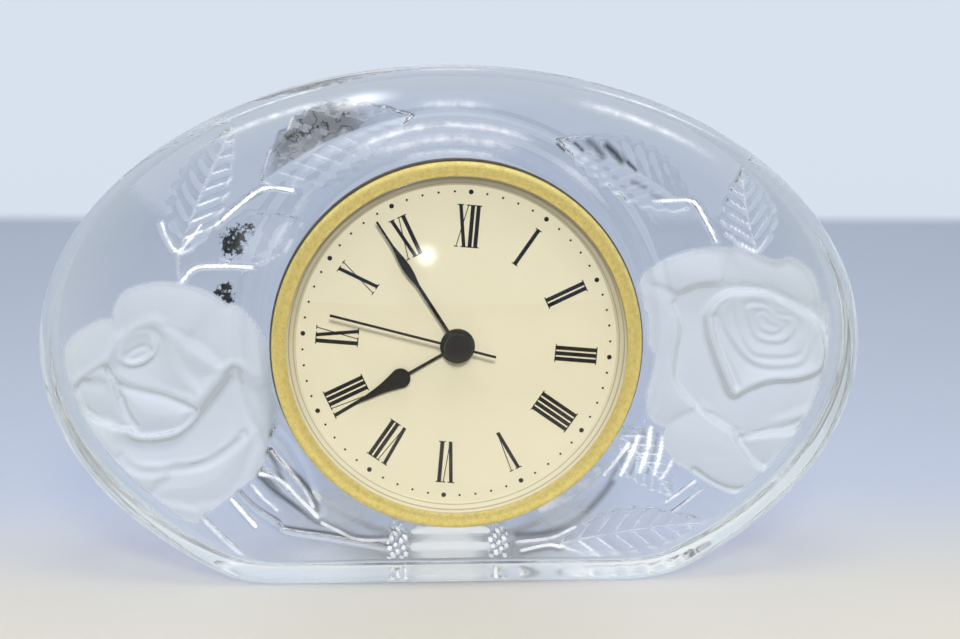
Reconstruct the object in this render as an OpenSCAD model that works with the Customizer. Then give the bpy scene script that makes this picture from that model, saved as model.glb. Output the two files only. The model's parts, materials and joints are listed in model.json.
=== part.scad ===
// Crystal desk clock: an oval moulded crystal that stands on its flat base and
// holds a round quartz clock insert in a through hole.
// The origin is the centre of the base. +Z is up and the dial faces -Y.

/* [Crystal] */
// Width of the oval crystal
crystal_w = 160; // [140:1:180]
// Height of the whole oval before its base is cut flat
oval_h = 109; // [98:1:120]
// Height of the oval's centre above the flat base
oval_centre_h = 46.9; // [44:0.1:49]
// Depth of the crystal from its front face to the top of its relief
crystal_d = 24; // [22:0.5:30]
// Height of the moulded relief above the back face
relief_h = 2; // [1:0.5:3]
// Radius of the rounded rims
rim_r = 2.5; // [1.5:0.5:3]
// Height of the clock's centre above the base
hub_h = 48; // [46:0.5:50]
// Diameter of the through hole that takes the insert
hole_d = 60.5; // [60:0.5:74]
// Width of the round boss that surrounds the hole at the back
boss_w = 12; // [8:1:14]

/* [Moulded flowers] */
// Radius of each rose mound
rose_r = 21; // [16:0.5:22]
// Distance of the left rose from the middle of the crystal
rose_left_x = 56.5; // [54:0.5:58]
// Height of the left rose's centre above the base
rose_left_h = 37; // [34:0.5:42]
// Distance of the right rose from the middle of the crystal
rose_right_x = 56; // [54:0.5:58]
// Height of the right rose's centre above the base
rose_right_h = 44; // [38:0.5:48]
// Height of each leaf above the back face
leaf_h = 1; // [0.5:0.5:1]

/* [Bezel and lens] */
// Width of the crystal's face that the bezel covers round the hole
bezel_over = 5.75; // [5:0.25:7]
// Width of the bezel's gold face
bezel_face_w = 3.2; // [2.8:0.1:4]
// Thickness of the bezel's side wall
bezel_wall = 1.5; // [1.2:0.1:1.8]
// Thickness of the bezel's lip over the lens
lip_t = 0.9; // [0.6:0.1:1.2]
// Width of the reflector ring that shows inside the bezel
ring_w = 1.9; // [1:0.1:2.4]
// Height of the reflector ring between dial and lens
ring_h = 1.5; // [1.4:0.1:2.5]
// Thickness of the lens
lens_t = 1; // [0.8:0.1:1.2]
// Rise of the domed lens from its rim to its centre
dome_rise = 3.6; // [3.4:0.1:4.5]

/* [Case] */
// Thickness of the rubber band between the case and the hole
band_t = 2.55; // [2:0.05:2.6]
// Thickness of the case's side wall
case_wall = 1.2; // [1:0.1:1.3]
// Depth of the case behind the crystal's front face
case_depth = 20; // [19.5:0.1:20.5]
// Thickness of the case's front flange
flange_t = 0.6; // [0.5:0.1:0.8]
// Gap between the flange and the crystal
flange_gap = 0.3; // [0.2:0.1:0.4]
// Thickness of the back cover and its hatch
cover_t = 1.4; // [1.2:0.1:1.6]
// Length of the rubber band that grips the hole
band_len = 12; // [8:1:14]
// Depth of the grooves between the band's ribs
band_groove = 0.9; // [0.5:0.1:1.2]

/* [Dial and hands] */
// Thickness of the dial
dial_t = 0.4; // [0.3:0.1:0.6]
// Clockwise turn of the insert in its hole, in degrees
dial_turn = 4.7; // [-180:0.1:180]
// Length of the hour hand from the centre
hour_len = 22.2; // [18:0.1:25]
// Width of the hour hand's drop
hour_w = 3.8; // [3:0.1:5]
// Length of the minute hand from the centre
minute_len = 28.6; // [24:0.1:30]
// Width of the minute hand's leaf
minute_w = 1.6; // [1.2:0.1:2.4]
// Length of the second hand from the centre
second_len = 25.2; // [22:0.1:30]
// Length of the second hand's tail
second_tail = 7.5; // [5:0.1:10]
// Width of the second hand
second_w = 0.5; // [0.4:0.1:0.8]
// Thickness of the hour and minute hands
hand_t = 0.3; // [0.2:0.05:0.4]
// Radius of the hour hand's hub
hour_hub_r = 3.35; // [3:0.05:3.6]
// Radius of the domed cap on the second hand
cap_r = 2.7; // [2:0.1:3]
// Dial angle of the hour hand, clockwise from twelve
hour_angle = 235.5; // [0:0.1:360]
// Dial angle of the minute hand, clockwise from twelve
minute_angle = 322.4; // [0:0.1:360]
// Dial angle of the second hand, clockwise from twelve
second_angle = 279.8; // [0:0.1:360]

/* [Movement] */
// Centre distance of the hour wheel and the minute wheel
motion_c = 8; // [7.6:0.1:8.4]
// Centre distance of the hands' axis and the third wheel
third_c = 9; // [7.5:0.1:9.1]
// Centre distance of the intermediate wheel and the rotor
rotor_c = 6.2; // [6:0.1:6.4]
// Thickness of a wheel
wheel_t = 0.6; // [0.5:0.05:0.7]
// Gap between one wheel and the next along the axis
wheel_gap = 0.9; // [0.8:0.05:1]
// Gap between a plate and the nearest wheel
plate_gap = 0.7; // [0.6:0.05:0.8]
// Radius of the seconds arbor and the other small arbors
arbor_r = 0.4; // [0.3:0.05:0.5]
// Running clearance round an arbor, on the radius
run_gap = 0.05; // [0.03:0.01:0.08]
// Radius of the rotor's magnet
magnet_r = 3; // [2.5:0.1:3.1]
// Thickness of the rotor's magnet
magnet_t = 1.8; // [1.5:0.1:2]
// Thickness of the stator and the coil's core
stator_t = 0.8; // [0.6:0.1:1]
// Length of the coil between its ends
coil_len = 15; // [12:0.5:15]
// Radius of the bobbin's ends
coil_r = 2.9; // [2.5:0.1:2.9]

/* [Battery] */
// Diameter of the battery
battery_d = 12; // [11.5:0.1:12]
// Length of the battery with its raised end
battery_len = 30.2; // [29:0.1:30.2]
// Gap between the battery and its cradle
battery_gap = 0.25; // [0.1:0.05:0.4]
// Radius of the setting knob
knob_r = 4.5; // [4:0.1:4.8]
// Thickness of the setting knob
knob_t = 2.8; // [2:0.1:3]

/* [Hidden] */

// Fine facets for round pieces, coarse ones for small holes and screws
$fn = 96;
small_fn = 24;
eps = 0.01;

// Heights along the insert's axis, forwards from the crystal's front face
flange_front = flange_gap + flange_t;
dial_face = flange_front + dial_t;
lens_seat = dial_face + ring_h;
lens_front = lens_seat + lens_t;
bezel_top = lens_front + lip_t;
cover_back = -case_depth;
cover_front = cover_back + cover_t;

// Fits between neighbours
fit = 0.1;
hatch_gap = 0.35;
band_out_r = hole_d / 2 - run_gap;
band_in_r = band_out_r - band_t;
case_r = band_in_r - run_gap;
case_in_r = case_r - case_wall;
bezel_r = hole_d / 2 + bezel_over;
bezel_in_r = bezel_r - bezel_wall;
bezel_open_r = bezel_r - bezel_face_w;
view_r = bezel_open_r - ring_w;
lens_r = bezel_in_r - fit;

// The movement's layers, from the front plate to the rear plate
front_plate_t = 1.2;
plate_t = 0.8;
front_plate_back = flange_front - front_plate_t;
hour_wheel_z = front_plate_back - plate_gap - wheel_t;
minute_wheel_z = hour_wheel_z - wheel_gap - wheel_t;
middle_plate_z = minute_wheel_z - plate_gap - plate_t;
centre_wheel_z = middle_plate_z - plate_gap - wheel_t;
third_wheel_z = centre_wheel_z - wheel_gap - wheel_t;
seconds_wheel_z = third_wheel_z - wheel_gap - wheel_t;
intermediate_wheel_z = seconds_wheel_z - wheel_gap - wheel_t;
rear_plate_z = intermediate_wheel_z - plate_gap - plate_t;
stator_z = seconds_wheel_z + (wheel_t - stator_t) / 2;
stator_mid = stator_z + stator_t / 2;
board_z = rear_plate_z + plate_t;

// The nested tubes on the hands' axis
minute_in_r = arbor_r + run_gap;
minute_out_r = minute_in_r + 0.55;
hour_in_r = minute_out_r + run_gap;
hour_out_r = hour_in_r + 0.75;
bush_in_r = hour_out_r + run_gap;
bush_out_r = bush_in_r + 1.15;
bush_front = dial_face + 0.3;

// The hands, one above the other
hand_gap = 0.45;
hub_t = 0.5;
hour_hand_z = bush_front + 0.35;
minute_hand_z = hour_hand_z + hub_t + hand_gap;
second_hand_z = minute_hand_z + hub_t + hand_gap;
minute_hub_r = 2.4;
cap_h = 1.1;

// Tooth numbers, which give the ratios of the train
cannon_n = 10;
minute_n = 30;
minute_pinion_n = 8;
hour_n = 32;
setting_n = 10;
seconds_pinion_n = 8;
third_n = 60;
third_pinion_n = 8;
centre_n = 64;
seconds_n = 40;
intermediate_pinion_n = 8;
intermediate_n = 48;
rotor_pinion_n = 8;

// Tooth proportions, in modules, with thinned teeth for free running
pressure_angle = 30;
addendum = 0.8;
dedendum = 1.15;
tooth_thinning = 0.14;
pinion_extra = 0.15;

// Modules that follow from the centre distances
motion_m = 2 * motion_c / (cannon_n + minute_n);
third_m = 2 * third_c / (seconds_pinion_n + third_n);
centre_m = 2 * third_c / (third_pinion_n + centre_n);
// The intermediate arbor passes just outside the centre wheel's teeth
centre_tip_r = centre_m * (centre_n / 2 + addendum);
intermediate_c = centre_tip_r + arbor_r + 0.6;
seconds_m = 2 * intermediate_c / (intermediate_pinion_n + seconds_n);
rotor_m = 2 * rotor_c / (rotor_pinion_n + intermediate_n);

// Directions from one axis to the next, counter-clockwise from +x
minute_dir = 250;
setting_dir = 145;
third_dir = 120;
intermediate_dir = 40;
rotor_dir = 50;

function polar(r, a) = [r * cos(a), r * sin(a)];
minute_at = polar(motion_c, minute_dir);
setting_at = minute_at + polar(motion_c, setting_dir);
third_at = polar(third_c, third_dir);
intermediate_at = polar(intermediate_c, intermediate_dir);
rotor_at = intermediate_at + polar(rotor_c, rotor_dir);

// Turn of a driven gear at which its teeth stand in mesh with its driver's
function mesh_turn(dir, n1, turn1, n2) =
    dir + 180 - (180 - (dir - turn1) * n1) / n2;

// Posts that carry the rear plate, and pillars that take the case screws
post_at = [[13, -3], [-15.5, -5.5], [-14.5, 14.5], [17, 8]];
post_r = 1.5;
post_bore_r = 0.7;
pillar_r = 2;
pillar_at = [for (a = [126, 355, 187]) polar(case_in_r - pillar_r - 0.8, a)];
screw_r = 0.9;
screw_head_r = 1.6;
screw_head_t = 0.7;

// The coil above the third wheel and the stator that joins it to the rotor
stator_hole_r = magnet_r + 0.5;
stator_ring_r = stator_hole_r + 0.7;
stator_leg_w = 2.6;
third_tip_r = third_m * (third_n / 2 + addendum);
coil_gap = 0.55;
coil_y = max(third_at[1] + third_tip_r, rotor_at[1] + stator_ring_r) + coil_gap + coil_r;
coil_at = [3, coil_y];
core_w = 2.4;
core_over = 4;
bobbin_tube_r = 1.7;
bobbin_end_t = 0.6;

// The circuit board on the rear plate
board_low = [-20, 1.5];
board_size = [13, 10.8];
board_t = 0.8;

// The battery low in the case, under the train, and its hatch
battery_top = -9.2;
battery_y = battery_top - battery_d / 2;
battery_z = cover_front + 0.5 + battery_d / 2;
nub_r = 2;
nub_t = 1;
contact_t = 0.3;
hatch_over = [3.8, 1];
hatch_size = [battery_len + hatch_over[0], battery_d + hatch_over[1]];
hatch_y = battery_y + 0.2;
knob_gap = 0.4;

// Places of the leaves: x from the hub, height from the hub, direction, length, width
LEAVES = [
    [-24, 33, 28, 34, 13], [-48, 26, 70, 28, 9], [31, 31, -32, 32, 11],
    [56, 24, 118, 18, 11], [-33, -28, -48, 24, 9], [34, -25, 55, 18, 10],
    [32, -39, 8, 36, 12]
];

// Places things on the insert's axis, with z towards the viewer
module in_hole() {
    translate([0, -crystal_d / 2, hub_h]) rotate([90, 0, 0]) children();
}

module in_insert() {
    in_hole() rotate([0, 0, -dial_turn]) children();
}

// A disc or tube between two heights
module disc(r, z0, z1, bore = 0, fn = $fn) {
    translate([0, 0, z0])
        if (bore > 0)
            difference() {
                cylinder(r = r, h = z1 - z0, $fn = fn);
                translate([0, 0, -1]) cylinder(r = bore, h = z1 - z0 + 2, $fn = fn);
            }
        else
            cylinder(r = r, h = z1 - z0, $fn = fn);
}

module hole(r, z0, z1, fn = $fn) {
    translate([0, 0, z0 - 1]) cylinder(r = r, h = z1 - z0 + 2, $fn = fn);
}

// Half the angle of a tooth at radius r: the involute narrows it outwards
function involute(a) = tan(a) * 180 / PI - a;
function tooth_half(n, pitch_r, r) =
    90 / n * (1 - tooth_thinning) + involute(pressure_angle)
    - involute(acos(min(1, pitch_r * cos(pressure_angle) / r)));

function gear_points(n, m) =
    let (
        pitch_r = n * m / 2,
        root_r = pitch_r - dedendum * m,
        tip_r = pitch_r + addendum * m,
        base_r = max(root_r, pitch_r * cos(pressure_angle)),
        rise = base_r > root_r + eps ? [root_r, base_r, pitch_r, tip_r]
            : [root_r, pitch_r, tip_r],
        fall = [for (i = [len(rise) - 1:-1:0]) rise[i]]
    )
    [for (i = [0:n - 1]) each concat(
        [for (r = rise) polar(r, i * 360 / n - tooth_half(n, pitch_r, max(r, base_r)))],
        [for (r = fall) polar(r, i * 360 / n + tooth_half(n, pitch_r, max(r, base_r)))]
    )];

module gear(n, m, z0, z1, bore, turn = 0) {
    difference() {
        translate([0, 0, z0]) rotate([0, 0, turn])
            linear_extrude(z1 - z0) polygon(gear_points(n, m));
        if (bore > 0) hole(bore, z0, z1, small_fn);
    }
}

// Outline of the oval, drawn in by an inset, with its base cut flat
function oval_points(inset) =
    let (
        a = crystal_w / 2 - inset,
        b = oval_h / 2 - inset,
        low = asin((oval_centre_h - inset) / b),
        steps = 110
    )
    [for (i = [0:steps])
        let (t = -low + (180 + 2 * low) * i / steps)
        [a * cos(t), oval_centre_h + b * sin(t)]];

// The slab: the outline drawn in along a quarter circle at the front and back rims
module crystal_slab() {
    front = -crystal_d / 2;
    back = crystal_d / 2 - relief_h;
    turns = [0:22.5:90];
    layers = concat(
        [for (a = turns) [rim_r * (1 - sin(a)), front + rim_r * (1 - cos(a))]],
        [for (a = turns) [rim_r * (1 - cos(a)), back - rim_r * (1 - sin(a))]]
    );
    rings = [for (l = layers) [for (p = oval_points(l[0])) [p[0], l[1], p[1]]]];
    n = len(rings[0]);
    last = (len(rings) - 1) * n;
    polyhedron(
        points = [for (r = rings) each r],
        faces = concat(
            [[for (i = [n - 1:-1:0]) i]],
            [for (k = [0:len(rings) - 2], i = [0:n - 1])
                let (j = (i + 1) % n) [k * n + i, k * n + j, (k + 1) * n + j, (k + 1) * n + i]],
            [[for (i = [0:n - 1]) last + i]]
        )
    );
}

// A shallow round mound with a spherical top
module rose_mound(x, h) {
    ball_r = (rose_r * rose_r + relief_h * relief_h) / (2 * relief_h);
    back = crystal_d / 2;
    intersection() {
        translate([x, back - ball_r, h]) sphere(r = ball_r, $fn = 180);
        translate([x, back, h]) rotate([90, 0, 0]) cylinder(r = rose_r, h = relief_h + 1);
    }
}

module leaf(len, width) {
    r = (len * len / 4 + width * width / 4) / width;
    intersection() {
        translate([0, width / 2 - r]) circle(r = r);
        translate([0, r - width / 2]) circle(r = r);
    }
}

// The boss has a flat top beside the hole and a hollow curve down to the back
module boss() {
    in_r = hole_d / 2 - 1;
    out_r = hole_d / 2 + boss_w;
    top_w = boss_w / 2;
    points = [for (a = [0:15:90])
        [out_r - (boss_w - top_w) * sin(a), relief_h * (1 - cos(a))]];
    translate([0, crystal_d / 2 - relief_h, hub_h]) rotate([-90, 0, 0])
        rotate_extrude()
            polygon(concat([[in_r, -1], [out_r, -1]], points, [[in_r, relief_h]]));
}

// The moulded roses and leaves, which stay inside the rounded rim
module flowers() {
    rose_mound(-rose_left_x, rose_left_h);
    rose_mound(rose_right_x, rose_right_h);
    for (l = LEAVES)
        translate([l[0], crystal_d / 2 - relief_h + leaf_h, hub_h + l[1]])
            rotate([90, 0, 0]) rotate([0, 0, l[2]])
                linear_extrude(leaf_h + 1) leaf(l[3], l[4]);
}

module crystal_block() {
    color([0.86, 0.9, 0.95, 0.5])
        difference() {
            union() {
                crystal_slab();
                boss();
                intersection() {
                    flowers();
                    translate([0, crystal_d / 2 + 1, 0]) rotate([90, 0, 0])
                        linear_extrude(crystal_d) polygon(oval_points(rim_r));
                }
            }
            translate([0, 0, hub_h]) rotate([90, 0, 0])
                cylinder(r = hole_d / 2, h = crystal_d + 2, center = true, $fn = 180);
        }
}

// Rubber band with ribs that grip the hole
module retaining_band() {
    z1 = -2;
    z0 = z1 - band_len;
    ribs = 5;
    pitch = band_len / (ribs - 0.5);
    color("dimgray") in_hole()
        difference() {
            disc(band_out_r, z0, z1, band_in_r);
            for (i = [0:ribs - 2])
                disc(band_out_r + 1, z0 + pitch * (i + 0.5), z0 + pitch * (i + 1),
                    band_out_r - band_groove);
        }
}

// Case: a tube with a front flange under the bezel
module insert_case() {
    color("gainsboro") in_insert() {
        disc(case_r, cover_back, flange_front, case_in_r);
        disc(lens_r, flange_gap, flange_front, case_r - eps);
    }
}

// Bezel: a rolled ring whose lip holds the lens, ring and dial on the flange
module bezel() {
    crown_w = 2;
    rise = 2.4;
    roll = [for (a = [0:15:90])
        [bezel_r - crown_w * (1 - cos(a)), bezel_top - rise * (1 - sin(a))]];
    color("gold") in_insert()
        rotate_extrude()
            polygon(concat(
                [[bezel_r - 0.3, flange_gap], [bezel_r, flange_gap + 0.3]],
                roll,
                [[bezel_open_r + 0.3, bezel_top - 0.25], [bezel_open_r, lens_front + 0.3],
                 [bezel_open_r, lens_front], [bezel_in_r, lens_front],
                 [bezel_in_r, flange_gap]]
            ));
}

// Lens: a flat rim under the lip and a shallow dome
module lens() {
    ball_r = (bezel_open_r * bezel_open_r + dome_rise * dome_rise) / (2 * dome_rise);
    steps = 12;
    function dome(z, i) = let (x = bezel_open_r * i / steps)
        [x, z + dome_rise - ball_r + sqrt(ball_r * ball_r - x * x)];
    color([0.95, 0.97, 1, 0.3]) in_insert()
        rotate_extrude()
            polygon(concat(
                [for (i = [0:steps]) dome(lens_seat, i)],
                [[lens_r, lens_seat], [lens_r, lens_front]],
                [for (i = [steps:-1:0]) dome(lens_front, i)]
            ));
}

// Reflector ring: a polished cone between the dial and the lens
module reflector_ring() {
    color("goldenrod") in_insert()
        rotate_extrude()
            polygon([[view_r, dial_face], [lens_r, dial_face], [lens_r, lens_seat],
                     [bezel_open_r, lens_seat], [view_r, dial_face + 0.2]]);
}

module dial() {
    color("cornsilk") in_insert() disc(lens_r, flange_front, dial_face, bush_out_r + fit);
}

// Hands are drawn along +y and turned clockwise to their dial angle
module at_dial_angle(a) {
    in_insert() rotate([0, 0, -a]) children();
}

module hour_hand() {
    drop_at = 12.6;
    stem_w = 0.9;
    half = hour_w / 2;
    drop = [for (a = [0:15:180]) [half * cos(a), drop_at - half * sin(a)]];
    color("black") at_dial_angle(hour_angle)
        difference() {
            union() {
                disc(hour_hub_r, hour_hand_z, hour_hand_z + hub_t);
                translate([0, 0, hour_hand_z]) linear_extrude(hand_t) {
                    translate([-stem_w / 2, 0]) square([stem_w, drop_at]);
                    polygon(concat(drop, [[-stem_w / 2, drop_at + 4.5], [-0.2, hour_len],
                        [0.2, hour_len], [stem_w / 2, drop_at + 4.5]]));
                }
            }
            hole(hour_out_r, hour_hand_z, hour_hand_z + hub_t, small_fn);
        }
}

module minute_hand() {
    wide_at = 18;
    stem_w = 0.8;
    color("black") at_dial_angle(minute_angle)
        difference() {
            union() {
                disc(minute_hub_r, minute_hand_z, minute_hand_z + hub_t);
                translate([0, 0, minute_hand_z]) linear_extrude(hand_t)
                    polygon([[-stem_w / 2, 0], [stem_w / 2, 0], [stem_w / 2, wide_at - 7],
                        [minute_w / 2, wide_at], [0.15, minute_len], [-0.15, minute_len],
                        [-minute_w / 2, wide_at], [-stem_w / 2, wide_at - 7]]);
            }
            hole(minute_out_r, minute_hand_z, minute_hand_z + hub_t, small_fn);
        }
}

// Second hand: a plain needle with a tail, under a domed cap
module second_hand() {
    t = 0.25;
    skirt_t = 0.4;
    dome = [for (a = [0:15:90]) [cap_r * cos(a), skirt_t + (cap_h - skirt_t) * sin(a)]];
    color("black") at_dial_angle(second_angle)
        difference() {
            translate([0, 0, second_hand_z]) {
                translate([-second_w / 2, -second_tail]) linear_extrude(t)
                    square([second_w, second_len + second_tail]);
                rotate_extrude($fn = 48) polygon(concat([[0, 0], [cap_r, 0]], dome));
            }
            hole(arbor_r, second_hand_z - 2, second_hand_z - 0.5, small_fn);
        }
}

// Front plate with the bush that passes through the dial and the long pillars
module front_plate() {
    color("ivory") in_insert()
        difference() {
            union() {
                disc(case_in_r - fit, front_plate_back, flange_front);
                disc(bush_out_r, front_plate_back, bush_front, 0, 48);
                for (p = pillar_at)
                    translate(p) disc(pillar_r, cover_front, flange_front - eps, 0, 48);
            }
            hole(bush_in_r, front_plate_back, bush_front, 48);
            translate(setting_at) hole(arbor_r + run_gap, front_plate_back, flange_front, small_fn);
            for (p = pillar_at)
                translate([p[0], p[1], cover_front - 1])
                    cylinder(r = screw_r, h = 9, $fn = small_fn);
            for (p = post_at)
                translate([p[0], p[1], front_plate_back - 1])
                    cylinder(r = post_bore_r, h = 1 + front_plate_t / 2, $fn = small_fn);
        }
}

// Middle plate between the motion work and the train, on spacers and with the posts
module middle_plate() {
    z1 = middle_plate_z + plate_t;
    color("ivory") in_insert()
        difference() {
            union() {
                difference() {
                    disc(case_in_r - 1, middle_plate_z, z1);
                    for (p = pillar_at)
                        translate(p) hole(pillar_r + fit, middle_plate_z, z1, 48);
                }
                for (p = post_at)
                    translate(p) disc(post_r, rear_plate_z + plate_t, front_plate_back, 0, 32);
                translate(minute_at) disc(arbor_r, z1 - eps, front_plate_back - 0.2, 0, small_fn);
            }
            hole(minute_out_r + run_gap, middle_plate_z, z1, small_fn);
            translate(third_at) hole(arbor_r + run_gap, middle_plate_z, z1, small_fn);
            translate(intermediate_at) hole(arbor_r + run_gap, middle_plate_z, z1, small_fn);
            translate(rotor_at) hole(arbor_r + run_gap, middle_plate_z, z1, small_fn);
            translate(setting_at) hole(1 + run_gap, middle_plate_z, z1, small_fn);
            for (p = post_at)
                translate(p) hole(post_bore_r, rear_plate_z, front_plate_back, small_fn);
        }
}

// Rear plate: holds the rear pivots of the train and the circuit board
module rear_plate() {
    z1 = rear_plate_z + plate_t;
    low_y = battery_top + 0.8;
    high_y = coil_at[1] - coil_r - 0.3;
    color("ivory") in_insert()
        difference() {
            translate([0, 0, rear_plate_z]) linear_extrude(plate_t)
                intersection() {
                    circle(r = case_in_r - 1.5);
                    translate([-21.5, low_y]) square([41.5, high_y - low_y]);
                }
            for (p = pillar_at)
                translate(p) hole(pillar_r + 0.4, rear_plate_z, z1, 48);
            hole(arbor_r + run_gap, rear_plate_z, z1, small_fn);
            for (p = [third_at, intermediate_at, rotor_at])
                translate(p) hole(arbor_r + run_gap, rear_plate_z, z1, small_fn);
            translate(setting_at) hole(1 + run_gap, rear_plate_z, z1, small_fn);
            for (p = post_at)
                translate(p) hole(post_bore_r, rear_plate_z, z1, small_fn);
        }
}

// A headed screw that points forwards from height z
module screw(z, len, r, head_r, head_t) {
    difference() {
        union() {
            disc(r, z - eps, z + len, 0, small_fn);
            disc(head_r, z - head_t, z, 0, small_fn);
        }
        translate([-head_r, -0.15, z - head_t - eps]) cube([2 * head_r, 0.3, 0.35]);
    }
}

module movement_screws() {
    len = front_plate_back - rear_plate_z + 0.4;
    color("silver") in_insert()
        for (p = post_at)
            translate(p) screw(rear_plate_z, len, post_bore_r - 0.05, 1.3, 0.5);
}

module case_screws() {
    color("silver") in_insert()
        for (p = pillar_at)
            translate(p) screw(cover_back + screw_head_t, 7, screw_r - 0.05, screw_head_r, screw_head_t);
}

// Hour wheel: its tube carries the hour hand
module hour_wheel() {
    turn = mesh_turn(minute_dir + 180, minute_pinion_n, 0, hour_n);
    color("khaki") in_insert() {
        gear(hour_n, motion_m, hour_wheel_z, hour_wheel_z + wheel_t, hour_in_r, turn);
        disc(hour_out_r, hour_wheel_z + wheel_t - eps, hour_hand_z + hub_t, hour_in_r, 48);
    }
}

// Minute wheel and its pinion, which turn on the middle plate's stud
module minute_wheel() {
    turn = mesh_turn(minute_dir, cannon_n, 0, minute_n);
    color("khaki") in_insert() translate(minute_at) {
        gear(minute_n, motion_m, minute_wheel_z, minute_wheel_z + wheel_t,
            arbor_r + run_gap, turn);
        gear(minute_pinion_n, motion_m, minute_wheel_z + wheel_t - eps,
            hour_wheel_z + wheel_t + pinion_extra, arbor_r + run_gap, 0);
    }
}

// Minute arbor: the tube with the cannon pinion that carries the minute hand
module minute_arbor() {
    color("goldenrod") in_insert() {
        gear(cannon_n, motion_m, minute_wheel_z - pinion_extra,
            minute_wheel_z + wheel_t + pinion_extra, minute_in_r);
        disc(minute_out_r, centre_wheel_z - 0.4, minute_wheel_z - pinion_extra + eps,
            minute_in_r, 48);
        disc(minute_out_r, minute_wheel_z + wheel_t + pinion_extra - eps,
            minute_hand_z + hub_t, minute_in_r, 48);
    }
}

// Centre wheel: the train turns it once an hour, and it slips on the minute arbor
module centre_wheel() {
    turn = mesh_turn(third_dir + 180, third_pinion_n, 0, centre_n);
    color("khaki") in_insert()
        gear(centre_n, centre_m, centre_wheel_z, centre_wheel_z + wheel_t,
            minute_out_r + run_gap, turn);
}

module third_wheel() {
    turn = mesh_turn(third_dir, seconds_pinion_n, 0, third_n);
    color("khaki") in_insert() translate(third_at) {
        gear(third_n, third_m, third_wheel_z, third_wheel_z + wheel_t, 0, turn);
        gear(third_pinion_n, centre_m, third_wheel_z + wheel_t - eps,
            centre_wheel_z + wheel_t + pinion_extra, 0, 0);
        disc(arbor_r, rear_plate_z + 0.2, middle_plate_z + 0.6, 0, small_fn);
    }
}

// Seconds wheel: its long arbor runs forwards through the minute arbor
module seconds_wheel() {
    color("khaki") in_insert() {
        gear(seconds_n, seconds_m, seconds_wheel_z, seconds_wheel_z + wheel_t, 0, 0);
        gear(seconds_pinion_n, third_m, seconds_wheel_z + wheel_t - eps,
            third_wheel_z + wheel_t + pinion_extra, 0, 0);
        disc(arbor_r, rear_plate_z + 0.2, second_hand_z + 0.5, 0, small_fn);
    }
}

module intermediate_wheel() {
    turn = mesh_turn(intermediate_dir, seconds_n, 0, intermediate_pinion_n);
    color("khaki") in_insert() translate(intermediate_at) {
        gear(intermediate_n, rotor_m, intermediate_wheel_z, intermediate_wheel_z + wheel_t, 0, 0);
        gear(intermediate_pinion_n, seconds_m, intermediate_wheel_z + wheel_t - eps,
            seconds_wheel_z + wheel_t + pinion_extra, 0, turn);
        disc(arbor_r, rear_plate_z + 0.2, middle_plate_z + 0.6, 0, small_fn);
    }
}

// Rotor: a magnet on a pinion
module rotor() {
    turn = mesh_turn(rotor_dir, intermediate_n, 0, rotor_pinion_n);
    color("slategray") in_insert() translate(rotor_at) {
        disc(magnet_r, stator_mid - magnet_t / 2, stator_mid + magnet_t / 2, 0, 48);
        gear(rotor_pinion_n, rotor_m, intermediate_wheel_z - pinion_extra,
            stator_mid - magnet_t / 2 + eps, 0, turn);
        disc(arbor_r, rear_plate_z + 0.2, middle_plate_z + 0.6, 0, small_fn);
    }
}

// Stator: one plate with a ring round the magnet and a leg to each end of the core
module stator() {
    core_low = coil_at[1] - core_w / 2;
    left = coil_at[0] - coil_len / 2 - core_over;
    right = coil_at[0] + coil_len / 2 + core_over;
    bar_w = 2.2;
    bar_y = rotor_at[1] + 2;
    color("lightsteelblue") in_insert()
        translate([0, 0, stator_z]) linear_extrude(stator_t)
            difference() {
                union() {
                    translate(rotor_at) circle(r = stator_ring_r);
                    translate([right - stator_leg_w, rotor_at[1]])
                        square([stator_leg_w, core_low - rotor_at[1]]);
                    translate([left, bar_y]) square([stator_leg_w, core_low - bar_y]);
                    translate([left, bar_y]) square([rotor_at[0] - 1.5 - left, bar_w]);
                }
                translate(rotor_at) {
                    circle(r = stator_hole_r);
                    for (a = [75, 255])
                        rotate([0, 0, a]) translate([stator_hole_r, 0]) circle(r = 0.35, $fn = 24);
                }
            }
}

module coil_core() {
    len = coil_len + 2 * core_over;
    color("silver") in_insert()
        translate([coil_at[0] - len / 2, coil_at[1] - core_w / 2, stator_z])
            cube([len, core_w, stator_t]);
}

// Runs a round piece along the coil's axis
module along_coil() {
    translate([coil_at[0], coil_at[1], stator_mid]) rotate([0, 90, 0]) children();
}

module coil_bobbin() {
    color("white") in_insert()
        difference() {
            along_coil() {
                disc(bobbin_tube_r, -coil_len / 2, coil_len / 2, 0, 48);
                for (s = [-1, 1])
                    translate([0, 0, s * (coil_len / 2 - bobbin_end_t / 2)])
                        cylinder(r = coil_r, h = bobbin_end_t, center = true, $fn = 48);
            }
            translate([coil_at[0], coil_at[1], stator_mid])
                cube([coil_len + 2, core_w + 0.1, stator_t + 0.1], center = true);
        }
}

module coil_winding() {
    half = coil_len / 2 - bobbin_end_t;
    color("chocolate") in_insert() along_coil()
        disc(coil_r - 0.3, -half, half, bobbin_tube_r, 48);
}

module circuit_board() {
    color("darkgreen") in_insert()
        translate([board_low[0], board_low[1], board_z])
            cube([board_size[0], board_size[1], board_t]);
}

// The chip is sealed under a round drop of resin
module control_chip() {
    drop_r = 2.6;
    drop_h = 1;
    ball_r = (drop_r * drop_r + drop_h * drop_h) / (2 * drop_h);
    at = [board_low[0] + 9.5, board_low[1] + 4, board_z + board_t];
    color("black") in_insert()
        translate(at)
            intersection() {
                translate([0, 0, drop_h - ball_r]) sphere(r = ball_r, $fn = 48);
                cylinder(r = drop_r, h = drop_h + 1, $fn = 48);
            }
}

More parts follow.
